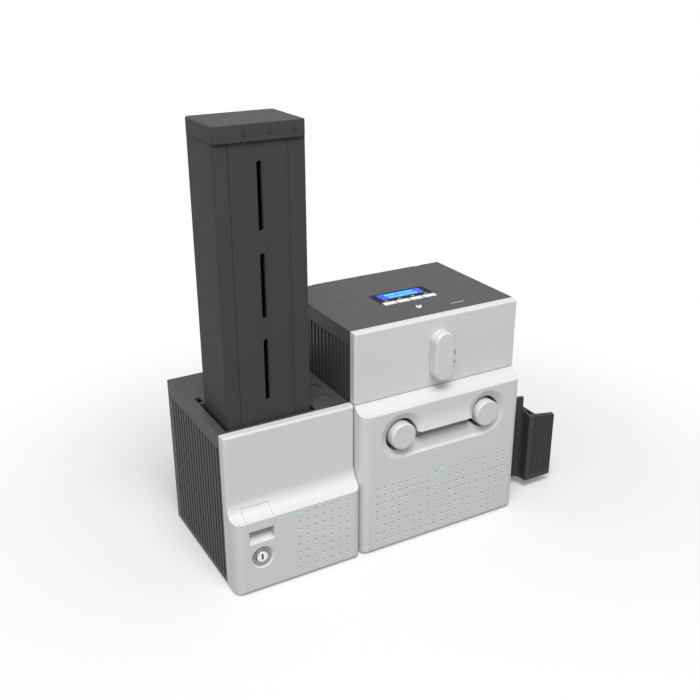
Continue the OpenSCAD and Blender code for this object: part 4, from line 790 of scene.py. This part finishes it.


# Prints, and flat black sheets of painted shade for the key slot and the screw sockets
def add_prints_and_painted_shade():
    body = BODY_OF["display"]
    arrows = []
    for i in range(KEY_COUNT):
        x = KEY_X0 + i * KEY_PITCH + KEY_L / 2
        arrows.append([(x - ARROW_WIDE, ARROW_Y0), (x + ARROW_WIDE, ARROW_Y0),
                       (x + ARROW_NARROW, ARROW_Y1), (x - ARROW_NARROW, ARROW_Y1)])
    raised("key_marks", arrows, on_top(BEZEL_Z), PRINT_LIFT, "print_pale", body)
    raised("cover_stripe", [rounded_box(*STRIPE)], on_top(COVER_TOP), PRINT_LIFT, "print_pale", body)
    x, y = BUTTON
    raised("button_mark", [rounded_box(x - 1.5, y - 0.2, x + 1.5, y + 3.4, 0.6)], on_top(BUTTON_TOP),
           PRINT_LIFT, "black_marks_and_painted_shade", BODY_OF["round_button"])
    # The key slot is a flat black sheet on the plug's front: painted shade for the slot's dark recess.
    x, z = PLUG
    half_w, half_h = KEY_SLOT_HALF
    raised("key_slot_painted_shade", [rounded_box(x - half_w, z - half_h, x + half_w, z + half_h, 0.5)],
           on_front(PLUG_FRONT), THIN_LIFT, "black_marks_and_painted_shade", BODY_OF["lock_plug"])
    # The screw sockets are flat black hexagons on the screws' fronts: painted shade for the sockets'
    # recesses.
    sockets = []
    for i in (-1, 0, 1):
        x = SCREW_X + i * SCREW_PITCH
        turns = [k * math.pi / 3 for k in range(6)]
        sockets.append([(x + SOCKET_R * math.cos(a), SCREW_Z + SOCKET_R * math.sin(a)) for a in turns])
    raised("screw_socket_painted_shade", sockets, on_front(SCREW_FRONT), THIN_LIFT, "black_marks_and_painted_shade", BODY_OF["cap_screws"])
    marks = []
    for z, lift in LOCK_MARKS:
        marks += lock_mark(z, lift)
    x = LOCK_MARK_X
    marks.append([(x - 1.5, 229.6), (x, 227.4), (x + 1.5, 229.6)])
    raised("lock_marks", marks, on_front(COVER_FRONT), PRINT_LIFT, "print_grey", body)


# Which nodes get rounded edges, with the radius, and which are turned anew

ROUNDED = {
    "hopper_shell": 0.8, "printer_shell": 0.8, "top_cover": 0.8, "output_tray": 0.6,
    "hopper_door": 0.8, "lower_panel": 0.8, "cassette_front": 0.8, "cover_front": 0.8, "latch_lever": 0.5,
    "tower_column": 0.6, "tower_back": 0.5, "tower_side": 0.4, "shutter": 0.4, "tower_cap": 0.8,
    "lock_barrel": 0.4, "lock_plug": 0.3,
    "display": 0.3, "round_button": 0.5, "key_1": 0.6, "key_2": 0.6, "key_3": 0.6, "key_4": 0.6,
    "rear_sockets": 0.4, "power_switch": 0.4,
}
TURNED = ("supply_knob", "takeup_knob")


def dress_frame():
    """Give each node its skin or its new form, and paint the nodes that are carried over."""
    for node, cad in NODES.items():
        if node in TURNED:
            add_winding_knob(node)
        elif node == "latch_knob":
            add_latch_knob()
        elif node == "cassette_front":
            skin(node, ROUNDED[node], opened=GRIP_BOX)
            add_grip()
        elif node in ROUNDED:
            skin(node, ROUNDED[node])
        else:
            cad.data.materials.clear()
            cad.data.materials.append(MATERIALS[LOOK_OF[node]])


add_camera()
add_light()
add_floor()
dress_frame()
add_screen()
add_prints_and_painted_shade()
